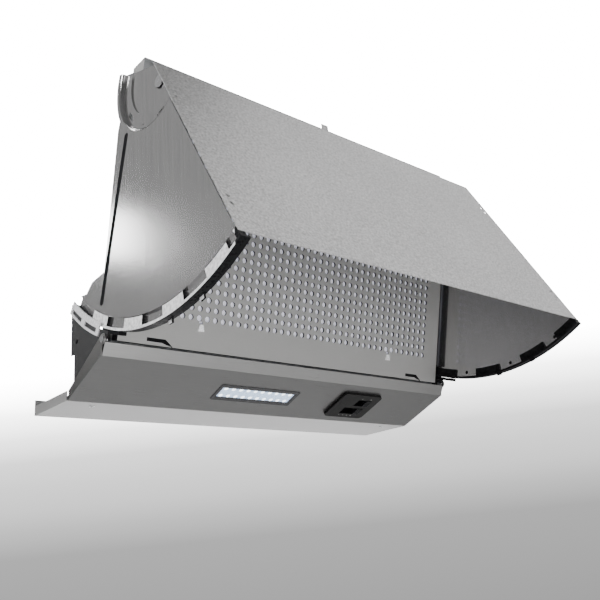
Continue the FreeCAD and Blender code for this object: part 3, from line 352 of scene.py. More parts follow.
@dataclass(frozen=True)
class SheetFinish(Finish):
    """Sheet or plate with painted shade on its faces across it, such as the walls of its holes.

    Args:
        normal: Direction that the sheet faces.
        shade_colour: Colour of the painted shade on the faces across it.
        edge: Cosines between which a face turns from across to along.
    """

    normal: Point = (0.0, -1.0, 0.0)
    shade_colour: Colour = (0.03, 0.03, 0.035)
    edge: Limits = (0.4, 0.7)

    def _tint(self, nodes: Nodes, links: Links, place: bpy.types.Node, colour: Socket) -> Socket:
        """Paint shade on the faces that stand across the sheet."""
        mask = self._facing(nodes, links, place, self.normal, True, *self.edge)
        return self._mix(nodes, links, mask, self.shade_colour, colour)


@dataclass(frozen=True)
class TrimReflectionFinish(Finish):
    """Black moulding with a painted reflection: its outer side faces are painted a little uneven silver.

    Args:
        outward: Direction of the faces that carry the painted reflection.
        black: Colour of the moulding.
        end_y: Y behind which the painted reflection starts.
        edge: Cosines between which a face turns from black to the painted reflection.
    """

    outward: Point = (-1.0, 0.0, 0.0)
    black: Colour = (0.010, 0.010, 0.011)
    end_y: float = -0.431
    edge: Limits = (0.8, 0.95)

    def _tint(self, nodes: Nodes, links: Links, place: bpy.types.Node, colour: Socket) -> Socket:
        """Keep the painted reflection to the outer faces behind the front end.

        Args:
            nodes: Nodes of the material.
            links: Links of the material.
            place: Texture coordinate node.
            colour: The uneven silver of the painted reflection.

        Returns:
            The painted reflection, with black elsewhere.
        """
        mask = self._facing(nodes, links, place, self.outward, False, *self.edge)
        split = nodes.new("ShaderNodeSeparateXYZ")
        links.new(place.outputs["Object"], split.inputs["Vector"])
        behind = self._math(nodes, links, "GREATER_THAN", split.outputs["Y"], self.end_y)
        both = nodes.new("ShaderNodeMath")
        both.operation = "MULTIPLY"
        links.new(mask, both.inputs[0])
        links.new(behind, both.inputs[1])
        return self._mix(nodes, links, both.outputs[0], self.black, colour)


GRILLE_LEAN = math.radians(14.3)
GRILLE_FACE = (0.0, -math.cos(GRILLE_LEAN), -math.sin(GRILLE_LEAN))
LAMP_SLOPE = math.radians(21.7)
LAMP_DOWN = (0.0, -math.sin(LAMP_SLOPE), -math.cos(LAMP_SLOPE))

FINISHES: tuple[Finish, ...] = (
    Finish(Role.VISOR_FRONT, (0.60, 0.595, 0.595), 0.85, 0.42, 0.06, 0.00004, 380.0, mottle=0.4),
    Finish(Role.VISOR_SIDE, (0.52, 0.515, 0.515), 0.94, 0.168, 0.008, 0.000002, 420.0, mottle=0.07,
           grain=Grain.DOWN_SIDE),
    Finish(Role.STRIP, (0.60, 0.595, 0.595), 0.75, 0.40, 0.04, 0.00001, 1500.0, grain=Grain.ALONG_X),
    # Lamp panel: the strip's silver paint made darker; the darker colour is painted shade.
    Finish(Role.LAMP_PANEL, (0.31, 0.308, 0.304), 0.94, 0.32, 0.05, 0.00001, 1500.0, grain=Grain.ALONG_X),
    # Grille: the walls of its holes get painted shade.
    SheetFinish(Role.GRILLE, (0.40, 0.398, 0.39), 0.3, 0.5, 0.04, 0.00001, 1200.0, normal=GRILLE_FACE),
    Finish(Role.FRAME_SIDE, (0.40, 0.40, 0.39), 0.4, 0.5, 0.05, 0.00001, 900.0),
    Finish(Role.ZINC, (0.48, 0.49, 0.50), 0.85, 0.45, 0.12, 0.00002, 160.0, pattern=Pattern.SPANGLE),
    Finish(Role.BRIGHT, (0.75, 0.75, 0.76), 1.0, 0.22, 0.05, 0.00001, 600.0),
    Finish(Role.CATCH, (0.86, 0.86, 0.88), 0.5, 0.25, 0.05, 0.00001, 600.0, 0.0, 0.3),
    # Grease filter: its glow is painted light, seen through the grille's holes.
    Finish(Role.FILTER, (0.80, 0.79, 0.88), 0.1, 0.5, 0.12, 0.0003, 420.0, 0.0, 0.40,
           (0.86, 0.87, 1.0), Pattern.MESH),
    # Trims: black moulding with a painted reflection, uneven silver on the outer side faces.
    *(TrimReflectionFinish(role, (0.78, 0.78, 0.79), 0.0, 0.3, 0.14, 0.00004, 260.0, shine=0.06, mottle=0.28,
                 outward=(side, 0.0, 0.0))
      for role, side in ((Role.LEFT_TRIM, -1.0), (Role.RIGHT_TRIM, 1.0))),
    Finish(Role.GLOSS_BLACK, (0.008, 0.008, 0.009), 0.0, 0.25, 0.05, 0.00001, 500.0, 0.1, shine=0.25),
    Finish(Role.DULL_BLACK, (0.006, 0.006, 0.007), 0.0, 0.7, 0.08, 0.00003, 900.0, shine=0.1),
    # Dark sleeves behind the grille holes: painted shade.
    Finish(Role.SLEEVE, (0.04, 0.04, 0.045), 0.0, 0.6, 0.08, 0.00003, 900.0, shine=0.2),
    Finish(Role.BEZEL, (0.06, 0.06, 0.062), 0.0, 0.35, 0.06, 0.00003, 900.0),
    Finish(Role.CHARCOAL, (0.035, 0.035, 0.036), 0.0, 0.48, 0.12, 0.00006, 900.0, shine=0.3),
    # Control plate: its side walls get near-black painted shade.
    SheetFinish(Role.CONTROL, (0.020, 0.020, 0.019), 0.0, 0.42, 0.1, 0.00003, 900.0, shine=0.16,
                normal=LAMP_DOWN, shade_colour=(0.004, 0.004, 0.004)),
    Finish(Role.DARK_GREY, (0.05, 0.05, 0.051), 0.0, 0.4, 0.08, 0.00003, 900.0),
    Finish(Role.PALE_GUIDE, (0.78, 0.78, 0.8), 0.1, 0.25, 0.05, 0.00002, 500.0, 0.3),
    Finish(Role.LENS, (0.6, 0.72, 0.88), 0.0, 0.25, 0.05, 0.00002, 500.0, 0.3, 1.1, (0.50, 0.66, 0.92)),
    Finish(Role.CELL, (0.9, 0.95, 1.0), 0.0, 0.2, 0.04, 0.00001, 500.0, 0.0, 3.2, (0.84, 0.92, 1.0)),
    Finish(Role.WHITE_CASE, (0.66, 0.66, 0.64), 0.0, 0.5, 0.06, 0.00003, 700.0),
    Finish(Role.MARK, (0.30, 0.30, 0.29), 0.0, 0.5, 0.06, 0.00001, 700.0),
    # Near-black crosses in the screw heads: painted shade of the cross recess.
    Finish(Role.RECESS, (0.02, 0.02, 0.02), 0.6, 0.5, 0.06, 0.00001, 700.0),
    Finish(Role.IRON, (0.18, 0.18, 0.19), 0.7, 0.5, 0.1, 0.0001, 500.0, pattern=Pattern.STACK),
)


class Palette:
    """Materials by role."""

    def __init__(self, finishes: Iterable[Finish]) -> None:
        """Build every finish."""
        self._materials = {finish.role: finish.build() for finish in finishes}

    def __getitem__(self, role: Role) -> bpy.types.Material:
        """Material of a role."""
        return self._materials[role]


def corners(x: Limits, y: Limits) -> list[tuple[float, float]]:
    """Corners of a rectangle, in turn."""
    return [(x[0], y[0]), (x[1], y[0]), (x[1], y[1]), (x[0], y[1])]


def circle(sides: int) -> list[tuple[float, float]]:
    """Points round a circle of radius one, in turn."""
    turns = [2.0 * math.pi * index / sides for index in range(sides)]
    return [(math.cos(turn), math.sin(turn)) for turn in turns]


def bridge(mesh: bmesh.types.BMesh, first: Loop, last: Loop) -> None:
    """Join two loops of as many points by a band of faces.

    Args:
        mesh: Mesh to add to.
        first: Points of one loop.
        last: Points of the other loop.
    """
    count = len(first)
    for index in range(count):
        after = (index + 1) % count
        mesh.faces.new((first[index], first[after], last[after], last[index]))


def slab(mesh: bmesh.types.BMesh, first: Loop, last: Loop) -> None:
    """Join two loops and close both ends.

    Args:
        mesh: Mesh to add to.
        first: Points of one end.
        last: Points of the other end.
    """
    bridge(mesh, first, last)
    mesh.faces.new(first)
    mesh.faces.new(list(reversed(last)))


def ring(mesh: bmesh.types.BMesh, loops: list[Loop]) -> None:
    """Join each loop to the next, and the last to the first."""
    for first, last in zip(loops, loops[1:] + loops[:1]):
        bridge(mesh, first, last)


def spread(role: Role, nodes: Sequence[str]) -> dict[str, Role]:
    """Give several nodes one finish."""
    return {node: role for node in nodes}


@dataclass
class SubAssembly:
    """A body of the hood whose nodes are dressed together.

    Args:
        body: Name of the body.
        roles: Finish of each of its nodes.
        bevel: Width of the softened edges, in metres.
        sharp: Nodes that keep their edges as they are.
    """

    body: str
    roles: dict[str, Role]
    bevel: float = 0.0003
    sharp: tuple[str, ...] = ()

    def dress(self, palette: Palette) -> None:
        """Give each node its material and softened edges.

        Args:
            palette: Materials by role.
        """
        for node, role in self.roles.items():
            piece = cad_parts[node]
            piece.data.materials.clear()
            piece.data.materials.append(palette[role])
            if node not in self.sharp:
                self._soften(piece)
            log.info("%s: %s", node, role.value)

    def build(self, palette: Palette) -> list[bpy.types.Object]:
        """Make the pieces that only the looks need."""
        return []

    def _soften(self, piece: bpy.types.Object) -> None:
        """Round the edges of a node by a bevel.

        Args:
            piece: Object of the node.
        """
        edge = piece.modifiers.new("edge", "BEVEL")
        edge.width = self.bevel
        edge.segments = EDGE_SEGMENTS
        edge.limit_method = "ANGLE"
        edge.angle_limit = EDGE_ANGLE
        edge.use_clamp_overlap = True

    def add(self, name: str, mesh: bmesh.types.BMesh, material: bpy.types.Material,
            slot: str) -> bpy.types.Object:
        """Turn a mesh into a piece that rides on this body.

        Args:
            name: Name of the piece.
            mesh: Its geometry, in the hood's frame.
            material: Its material.
            slot: The record's material slot; not used.

        Returns:
            The new piece.
        """
        data = bpy.data.meshes.new(name)
        bmesh.ops.recalc_face_normals(mesh, faces=mesh.faces)
        mesh.to_mesh(data)
        mesh.free()
        piece = bpy.data.objects.new(name, data)
        bpy.context.scene.collection.objects.link(piece)
        data.materials.append(material)
        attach(piece, self.body)
        log.info("%s: made for %s", name, self.body)
        return piece


@dataclass(frozen=True)
class LampFace:
    """Sloping face of the lamp panel, as a frame for what sits on it.

    Args:
        fold_y: Y of the front fold, in metres.
        fold_z: Z of the front fold, in metres.
        slope: Slope of the face, in radians.
    """

    fold_y: float = -0.178737
    fold_z: float = -0.266279
    slope: float = LAMP_SLOPE

    def place(self, x: float, along: float, above: float) -> Vector:
        """Point on the face.

        Args:
            x: X, in metres.
            along: Distance back from the front fold.
            above: Distance above the outer face.

        Returns:
            The point in the hood's frame.
        """
        y = self.fold_y + along * math.cos(self.slope) + above * math.sin(self.slope)
        z = self.fold_z - along * math.sin(self.slope) + above * math.cos(self.slope)
        return Vector((x, y, z))

    def dome(self, mesh: bmesh.types.BMesh, x: float, along: float, radius: float, base: float, rise: float,
             sides: int = 16) -> None:
        """Add a shallow closed dome that bulges out of the face.

        Args:
            mesh: Mesh to add to.
            x: X of its middle.
            along: Distance back from the fold.
            radius: Radius of its foot.
            base: How far above the outer face its foot lies.
            rise: Height of the dome, outward.
            sides: Number of sides.
        """
        loops = []
        for share, height in DOME_PROFILE:
            reach = radius * share
            above = base - rise * height
            points = [self.place(x + reach * u, along + reach * v, above) for u, v in circle(sides)]
            loops.append([mesh.verts.new(point) for point in points])
        for first, last in zip(loops, loops[1:]):
            bridge(mesh, first, last)
        top = mesh.verts.new(self.place(x, along, base - rise))
        crown = loops[-1]
        for index in range(sides):
            mesh.faces.new((crown[index], crown[(index + 1) % sides], top))
        mesh.faces.new(list(reversed(loops[0])))

    def ridge(self, mesh: bmesh.types.BMesh, x: Limits, along: Limits, base: float, rise: float) -> None:
        """Add a closed ridge with a narrowed crest.

        Args:
            mesh: Mesh to add to.
            x: X limits of its foot.
            along: Limits of its foot back from the fold.
            base: How far above the outer face its foot lies.
            rise: Height of the ridge, outward.
        """
        inset = CREST_INSET * (x[1] - x[0])
        crest = corners((x[0] + inset, x[1] - inset), (along[0] + inset, along[1] - inset))
        low = [mesh.verts.new(self.place(u, v, base)) for u, v in corners(x, along)]
        high = [mesh.verts.new(self.place(u, v, base - rise)) for u, v in crest]
        slab(mesh, low, high)


@dataclass
class LampUnit(SubAssembly):
    """Lamp panel with its lamp and controls.

    Args:
        face: Frame of the sloping face.
        centre_x: X of the lamp's middle.
        length: Length of the lens.
        along: Where the lens starts, back from the fold.
        width: Width of the lens.
        lip_front: How far the bezel's lip covers the lens along its front edge.
        lip_rear: How far it covers the rear edge.
        lip_side: How far it covers each end.
        lip_levels: Levels of the lip above the outer face: outer edge, crest, under the crest, foot.
        columns: Bright cells in each of the two rows.
        cell: Radius of a cell.
        cell_inset: Distance of a row's middle from the lip, as a share of that radius.
        lens_above: How far above the outer face the lens lies.
        plate_above: How far above the outer face the control plate lies.
        rise: Height of a cell and of a mark.
        marks: (x, along, radius) of the plate's round marks.
        mark_sides: Sides of a mark.
    """

    body: str = "lamp_unit"
    roles: dict[str, Role] = field(default_factory=lambda: {
        "lamp_panel": Role.LAMP_PANEL,
        "lamp_bezel": Role.BEZEL,
        "lamp_lens": Role.LENS,
        "led_board": Role.WHITE_CASE,
        "led_driver": Role.WHITE_CASE,
        "control_box": Role.DULL_BLACK,
        "control_plate": Role.CONTROL,
    })
    face: LampFace = field(default_factory=LampFace)
    centre_x: float = -0.047
    length: float = 0.125
    along: float = 0.0335
    width: float = 0.025
    lip_front: float = 0.0030
    lip_rear: float = 0.0022
    lip_side: float = 0.0019
    lip_levels: tuple[float, ...] = (-0.0005, 0.0001, 0.00035, 0.00055)
    columns: int = 10
    cell: float = 0.0030
    cell_inset: float = 0.8
    lens_above: float = 0.0006
    plate_above: float = -0.004
    rise: float = 0.0002
    marks: tuple[Point, ...] = (
        (0.1245, 0.0690, 0.0007), (0.1325, 0.0690, 0.0009), (0.1405, 0.0690, 0.0011),
        (0.1485, 0.0690, 0.0013), (0.1380, 0.0255, 0.0007), (0.1560, 0.0255, 0.0011),
    )
    mark_sides: int = 12

    def build(self, palette: Palette) -> list[bpy.types.Object]:
        """Make the bright cells of the lamp, the bezel's lip and the marks by the slides.

        Args:
            palette: Materials by role.

        Returns:
            The new pieces.
        """
        window = self.length - 2.0 * self.lip_side
        inset = self.cell * self.cell_inset
        rows = (self.along + self.lip_front + inset, self.along + self.width - self.lip_rear - inset)
        cells = bmesh.new()
        for along in rows:
            for column in range(self.columns):
                x = self.centre_x + window * ((column + 0.5) / self.columns - 0.5)
                self.face.dome(cells, x, along, self.cell, self.lens_above, self.rise)
        lip = bmesh.new()
        self._lip(lip)
        marks = bmesh.new()
        for x, along, radius in self.marks:
            self.face.dome(marks, x, along, radius, self.plate_above, self.rise, self.mark_sides)
        return [
            self.add("lamp_cells", cells, palette[Role.CELL], "lamp_diffuser"),
            self.add("bezel_lip", lip, palette[Role.BEZEL], "black_matte_plastic"),
            self.add("slide_marks", marks, palette[Role.MARK], "driver_white"),
        ]

    def _lip(self, mesh: bmesh.types.BMesh) -> None:
        """Add the closed sloping frame that covers the lens's edges.

        Args:
            mesh: Mesh to add to.
        """
        half = self.length / 2.0
        outer = (half, self.along, self.along + self.width)
        inner = (half - self.lip_side, self.along + self.lip_front, self.along + self.width - self.lip_rear)
        loops = []
        for (reach, front, rear), above in zip((outer, inner, inner, outer), self.lip_levels):
            outline = corners((-reach, reach), (front, rear))
            points = [self.face.place(self.centre_x + x, along, above) for x, along in outline]
            loops.append([mesh.verts.new(point) for point in points])
        ring(mesh, loops)


@dataclass
class SlideKnob(SubAssembly):
    """Sliding control with ribs for the finger.

    Args:
        face: Frame of the sloping face.
        x: X limits of the knob.
        along: Limits of the knob back from the fold.
        top: How far above the outer face the knob's top lies.
        ribs: Number of ribs.
        rib: Where a rib starts and ends in its share of the knob.
        rib_end: Distance of a rib's ends from the knob's edges.
        rise: Height of a rib.
    """

    face: LampFace = field(default_factory=LampFace)
    x: Limits = (0.1467, 0.1587)
    along: Limits = (0.0503, 0.0647)
    top: float = -0.0052
    ribs: int = 4
    rib: Limits = (0.2, 0.8)
    rib_end: float = 0.001
    rise: float = 0.0006

    def build(self, palette: Palette) -> list[bpy.types.Object]:
        """Make the ribs.

        Args:
            palette: Materials by role.

        Returns:
            The new piece.
        """
        mesh = bmesh.new()
        step = (self.x[1] - self.x[0]) / self.ribs
        along = (self.along[0] + self.rib_end, self.along[1] - self.rib_end)
        for index in range(self.ribs):
            left, right = (self.x[0] + (index + share) * step for share in self.rib)
            self.face.ridge(mesh, (left, right), along, self.top, self.rise)
        return [self.add(self.body + "_ribs", mesh, palette[Role.GLOSS_BLACK], "black_gloss_plastic")]


@dataclass
class Casing(SubAssembly):
    """Fixed casing with its base, cheeks and fan housing.

    Args:
        screws: X and Y of the strip screws.
        screw_z: Z of the underside of their heads.
        arm: Half length of a recess's arm.
        breadth: Half breadth of a recess's arm.
        recess: How far a recess's mouth and floor lie above the underside.
        recess_floor: Size of its floor, as a share of its mouth.
        cheek_hole: Y and Z of the hole in each cheek.
        cheek_inner: Distance of a cheek's inner face from the middle.
        back_radius: Radius of the cap behind a cheek's hole.
        back: Where that cap starts and ends inside the inner face.
        back_end: Size of its inner end, as a share of its radius.
    """

    body: str = "casing"
    roles: dict[str, Role] = field(default_factory=lambda: {
        **spread(Role.ZINC, (
            "rear_rail", "rail_hangers", "front_rail", "frame_left_back", "frame_right_back", "box_left_side",
            "box_right_side", "pivot_brackets", "hinge_ears", "front_header", "frame_top", "frame_floor",
            "box_back", "box_floor", "box_top", "fan_scroll", "scroll_inlet_plate", "scroll_back_plate",
            "stand_offs")),
        **spread(Role.BRIGHT, (
            "strip_screws", "lamp_hinge_pins", "pivot_pins", "bracket_rivets", "damper_pin")),
        **spread(Role.FRAME_SIDE, ("frame_left_side", "frame_right_side")),
        **spread(Role.CHARCOAL, ("left_cheek", "right_cheek")),
        **spread(Role.DULL_BLACK, ("glide_blocks", "outlet_collar")),
        **spread(Role.WHITE_CASE, ("terminal_box", "run_capacitor")),
        "base_strip": Role.STRIP,
        "arc_guides": Role.PALE_GUIDE,
        "fan_motor": Role.IRON,
    })
    screws: tuple[Limits, ...] = ((-0.258, -0.076), (0.258, -0.076))
    screw_z: float = -0.3008
    arm: float = 0.0027
    breadth: float = 0.0009
    recess: Limits = (-0.000004, 0.0004)
    recess_floor: float = 0.6
    cheek_hole: Limits = (-0.1117, -0.23177)
    cheek_inner: float = 0.2943
    back_radius: float = 0.0075
    back: Limits = (0.00005, 0.0005)
    back_end: float = 0.9

    def build(self, palette: Palette) -> list[bpy.types.Object]:
        """Make the dark crosses in the strip screws and the dark backs behind the cheek holes, both painted
        shade.

        Args:
            palette: Materials by role.

        Returns:
            The new pieces.
        """
        crosses = bmesh.new()
        for x, y in self.screws:
            self._cross(crosses, x, y)
        backs = bmesh.new()
        for side in (-1.0, 1.0):
            self._back(backs, side)
        return [
            self.add("screw_recess_shades", crosses, palette[Role.RECESS], "bright_screw"),
            self.add("cheek_hole_shade_backs", backs, palette[Role.DULL_BLACK], "black_matte_plastic"),
        ]

    def _back(self, mesh: bmesh.types.BMesh, side: float, sides: int = 24) -> None:
        """Add a thin dark round cap behind a cheek's hole, with a narrowed inner face: painted shade seen
        through the hole.

        Args:
            mesh: Mesh to add to.
            side: -1 for the left and 1 for the right.
            sides: Number of sides.
        """
        y, z = self.cheek_hole
        loops = []
        for inset, share in zip(self.back, (1.0, self.back_end)):
            x = side * (self.cheek_inner - inset)
            reach = self.back_radius * share
            loops.append([mesh.verts.new((x, y + reach * u, z + reach * v)) for u, v in circle(sides)])
        slab(mesh, *loops)

    def _cross(self, mesh: bmesh.types.BMesh, x: float, y: float) -> None:
        """Add one thin dark cross, set in the head: painted shade for the cross recess.

        Args:
            mesh: Mesh to add to.
            x: X of its middle.
            y: Y of its middle.
        """
        a, b = self.arm, self.breadth
        outline = ((-b, -a), (b, -a), (b, -b), (a, -b), (a, b), (b, b),
                   (b, a), (-b, a), (-b, b), (-a, b), (-a, -b), (-b, -b))
        loops = []
        for above, share in zip(self.recess, (1.0, self.recess_floor)):
            z = self.screw_z + above
            loops.append([mesh.verts.new((x + u * share, y + v * share, z)) for u, v in outline])
        slab(mesh, *loops)


@dataclass
class Visor(SubAssembly):
    """Tilting visor: front panel, side plates, slot liners, bushes and arc trims."""

    body: str = "visor"
    roles: dict[str, Role] = field(default_factory=lambda: {
        **spread(Role.VISOR_SIDE, ("visor_left_side", "visor_right_side")),
        **spread(Role.DULL_BLACK, ("slot_liners", "pivot_bushes")),
        "visor_front_panel": Role.VISOR_FRONT,
        "left_arc_trim": Role.LEFT_TRIM,
        "right_arc_trim": Role.RIGHT_TRIM,
    })


@dataclass
class FilterCatch(SubAssembly):
    """Sprung catch of the filter tray."""


@dataclass
class FanWheel(SubAssembly):
    """Fan wheel with its hub and shaft."""

    body: str = "wheel"
    roles: dict[str, Role] = field(default_factory=lambda: {
        "fan_wheel": Role.DARK_GREY,
        "wheel_hub": Role.BRIGHT,
        "fan_shaft": Role.BRIGHT,
    })


@dataclass
class DamperLeaf(SubAssembly):
    """Leaf of the damper in the outlet collar."""


@dataclass
class FilterTray(SubAssembly):
    """Perforated tray with dark sleeves behind its holes and dark backs behind its slits, both painted shade.

    Args:
        top: Y and Z of the middle of the sheet at the top row of holes.
        lean: How far the tray leans, in radians.
        pitch: Distance between holes.
        columns: Holes in a row.
        rows: Rows of holes.
        inner: Inner radius of a sleeve.
        outer: Outer radius of a sleeve.
        depth: Where a sleeve starts and ends behind the middle of the sheet.
        catches: X of the catches, which need room in the lowest row.
        catch_room: Room on each side of a catch.
        slits: X limits of the slits.
        slit_rise: Limits of the slit backs below the top row.
        slit_depth: Where a slit back starts and ends behind the middle of the sheet.
        slit_inset: How much smaller its rear is on each side.
    """

    body: str = "filter_tray"
    roles: dict[str, Role] = field(default_factory=lambda: {
        "filter_grille": Role.GRILLE,
        "grease_filter": Role.FILTER,
    })
    sharp: tuple[str, ...] = ("filter_grille",)
    top: Limits = (-0.25213, 0.02415)
    lean: float = GRILLE_LEAN
    pitch: float = 0.012
    columns: int = 42
    rows: int = 21
    inner: float = 0.00365
    outer: float = 0.0045
    depth: Limits = (0.00055, 0.0023)
    catches: tuple[float, ...] = (-0.171, 0.165)
    catch_room: float = 0.013
    slits: tuple[Limits, ...] = ((-0.246, -0.205), (0.2055, 0.2465))
    slit_rise: Limits = (-0.2785, -0.2690)
    slit_depth: Limits = (0.00055, 0.0011)
    slit_inset: float = 0.0004

    def build(self, palette: Palette) -> list[bpy.types.Object]:
        """Make the sleeves and the slit backs that paint shade in the holes and slits.

        Args:
            palette: Materials by role.

        Returns:
            The new pieces.
        """
        sleeves = bmesh.new()
        for row in range(self.rows):
            for column in range(self.columns):
                x = self.pitch * (column - (self.columns - 1) / 2.0)
                lowest = row == self.rows - 1
                if lowest and any(abs(x - catch) < self.catch_room for catch in self.catches):
                    continue
                self._sleeve(sleeves, x, -self.pitch * row)
        backs = bmesh.new()
        for limits in self.slits:
            self._slit_back(backs, limits)
        return [
            self.add("hole_shade_sleeves", sleeves, palette[Role.SLEEVE], "black_matte_plastic"),
            self.add("slit_shade_backs", backs, palette[Role.DULL_BLACK], "black_matte_plastic"),
        ]

    def _place(self, x: float, rise: float, behind: float) -> Vector:
        """Point on or behind the sheet.

        Args:
            x: X of the point.
            rise: Height along the sheet from the top row of holes.
            behind: Depth behind the middle of the sheet.

        Returns:
            The point in the hood's frame.
        """
        y = self.top[0] - rise * math.sin(self.lean) + behind * math.cos(self.lean)
        z = self.top[1] + rise * math.cos(self.lean) + behind * math.sin(self.lean)
        return Vector((x, y, z))

    def _sleeve(self, mesh: bmesh.types.BMesh, x: float, rise: float, sides: int = 14) -> None:
        """Add one short closed dark tube, painted shade inside a hole.

        Args:
            mesh: Mesh to add to.
            x: X of its axis.
            rise: Height of its axis along the sheet.
            sides: Number of sides.
        """
        loops = []
        for radius, behind in corners((self.inner, self.outer), self.depth):
            points = [self._place(x + radius * u, rise + radius * v, behind) for u, v in circle(sides)]
            loops.append([mesh.verts.new(point) for point in points])
        ring(mesh, loops)

    def _slit_back(self, mesh: bmesh.types.BMesh, limits: Limits) -> None:
        """Add one thin dark plate with narrowed rear edges, painted shade behind a slit.

        Args:
            mesh: Mesh to add to.
            limits: X limits of the plate.
        """
        loops = []
        for behind, inset in zip(self.slit_depth, (0.0, self.slit_inset)):
            across = (limits[0] + inset, limits[1] - inset)
            rises = (self.slit_rise[0] + inset, self.slit_rise[1] - inset)
            points = [self._place(x, rise, behind) for x, rise in corners(across, rises)]
            loops.append([mesh.verts.new(point) for point in points])
        slab(mesh, *loops)


@dataclass(frozen=True)
class Softbox:
    """Square softbox of the studio.

    Args:
        name: Name of the light.
        place: Where it hangs.
        aim: Point it faces.
        size: Side of the square.
        power: Power in watts.
    """

    name: str
    place: Point
    aim: Point
    size: float
    power: float

    def hang(self) -> None:
        """Make the light and turn it to its aim."""
        data = bpy.data.lights.new(self.name, "AREA")
        data.size = self.size
        data.energy = self.power
        light = bpy.data.objects.new(self.name, data)
        light.location = self.place
        view = Vector(self.aim) - Vector(self.place)
        light.rotation_euler = view.to_track_quat("-Z", "Y").to_euler()
        bpy.context.scene.collection.objects.link(light)


SOFTBOXES = (
    Softbox("side_softbox", (-1.135, 1.484, 0.735), (-0.29, -0.2, -0.15), 0.17, 1.6),
    Softbox("side_fill", (-1.6, 1.7, 1.1), (-0.29, -0.2, -0.1), 1.6, 2.4),
    Softbox("rim_card", (-0.665, 0.545, 1.2), (-0.29, -0.28, 0.0), 0.25, 2.2),
    Softbox("left_key", (-2.2, -0.5, 0.3), (-0.29, -0.25, -0.2), 0.8, 46.0),
    Softbox("top_softbox", (1.4, -0.85, 1.35), (0.0, -0.35, -0.1), 2.0, 13.5),
    Softbox("front_softbox", (1.6, -2.1, -0.1), (0.0, -0.2, -0.2), 1.3, 5.0),
    Softbox("front_fill", (-0.5, -2.2, -0.5), (0.1, -0.2, -0.1), 1.2, 6.0),
    Softbox("low_fill", (-0.15, -1.15, -0.75), (0.1, -0.25, -0.05), 0.9, 7.8),
    Softbox("lip_card", (0.45, -0.79, -0.74), (-0.05, -0.19, -0.26), 0.9, 1.35),
    Softbox("low_card", (0.9, 1.35, -0.74), (0.0, -0.05, -0.3), 1.5, 12.0),
)


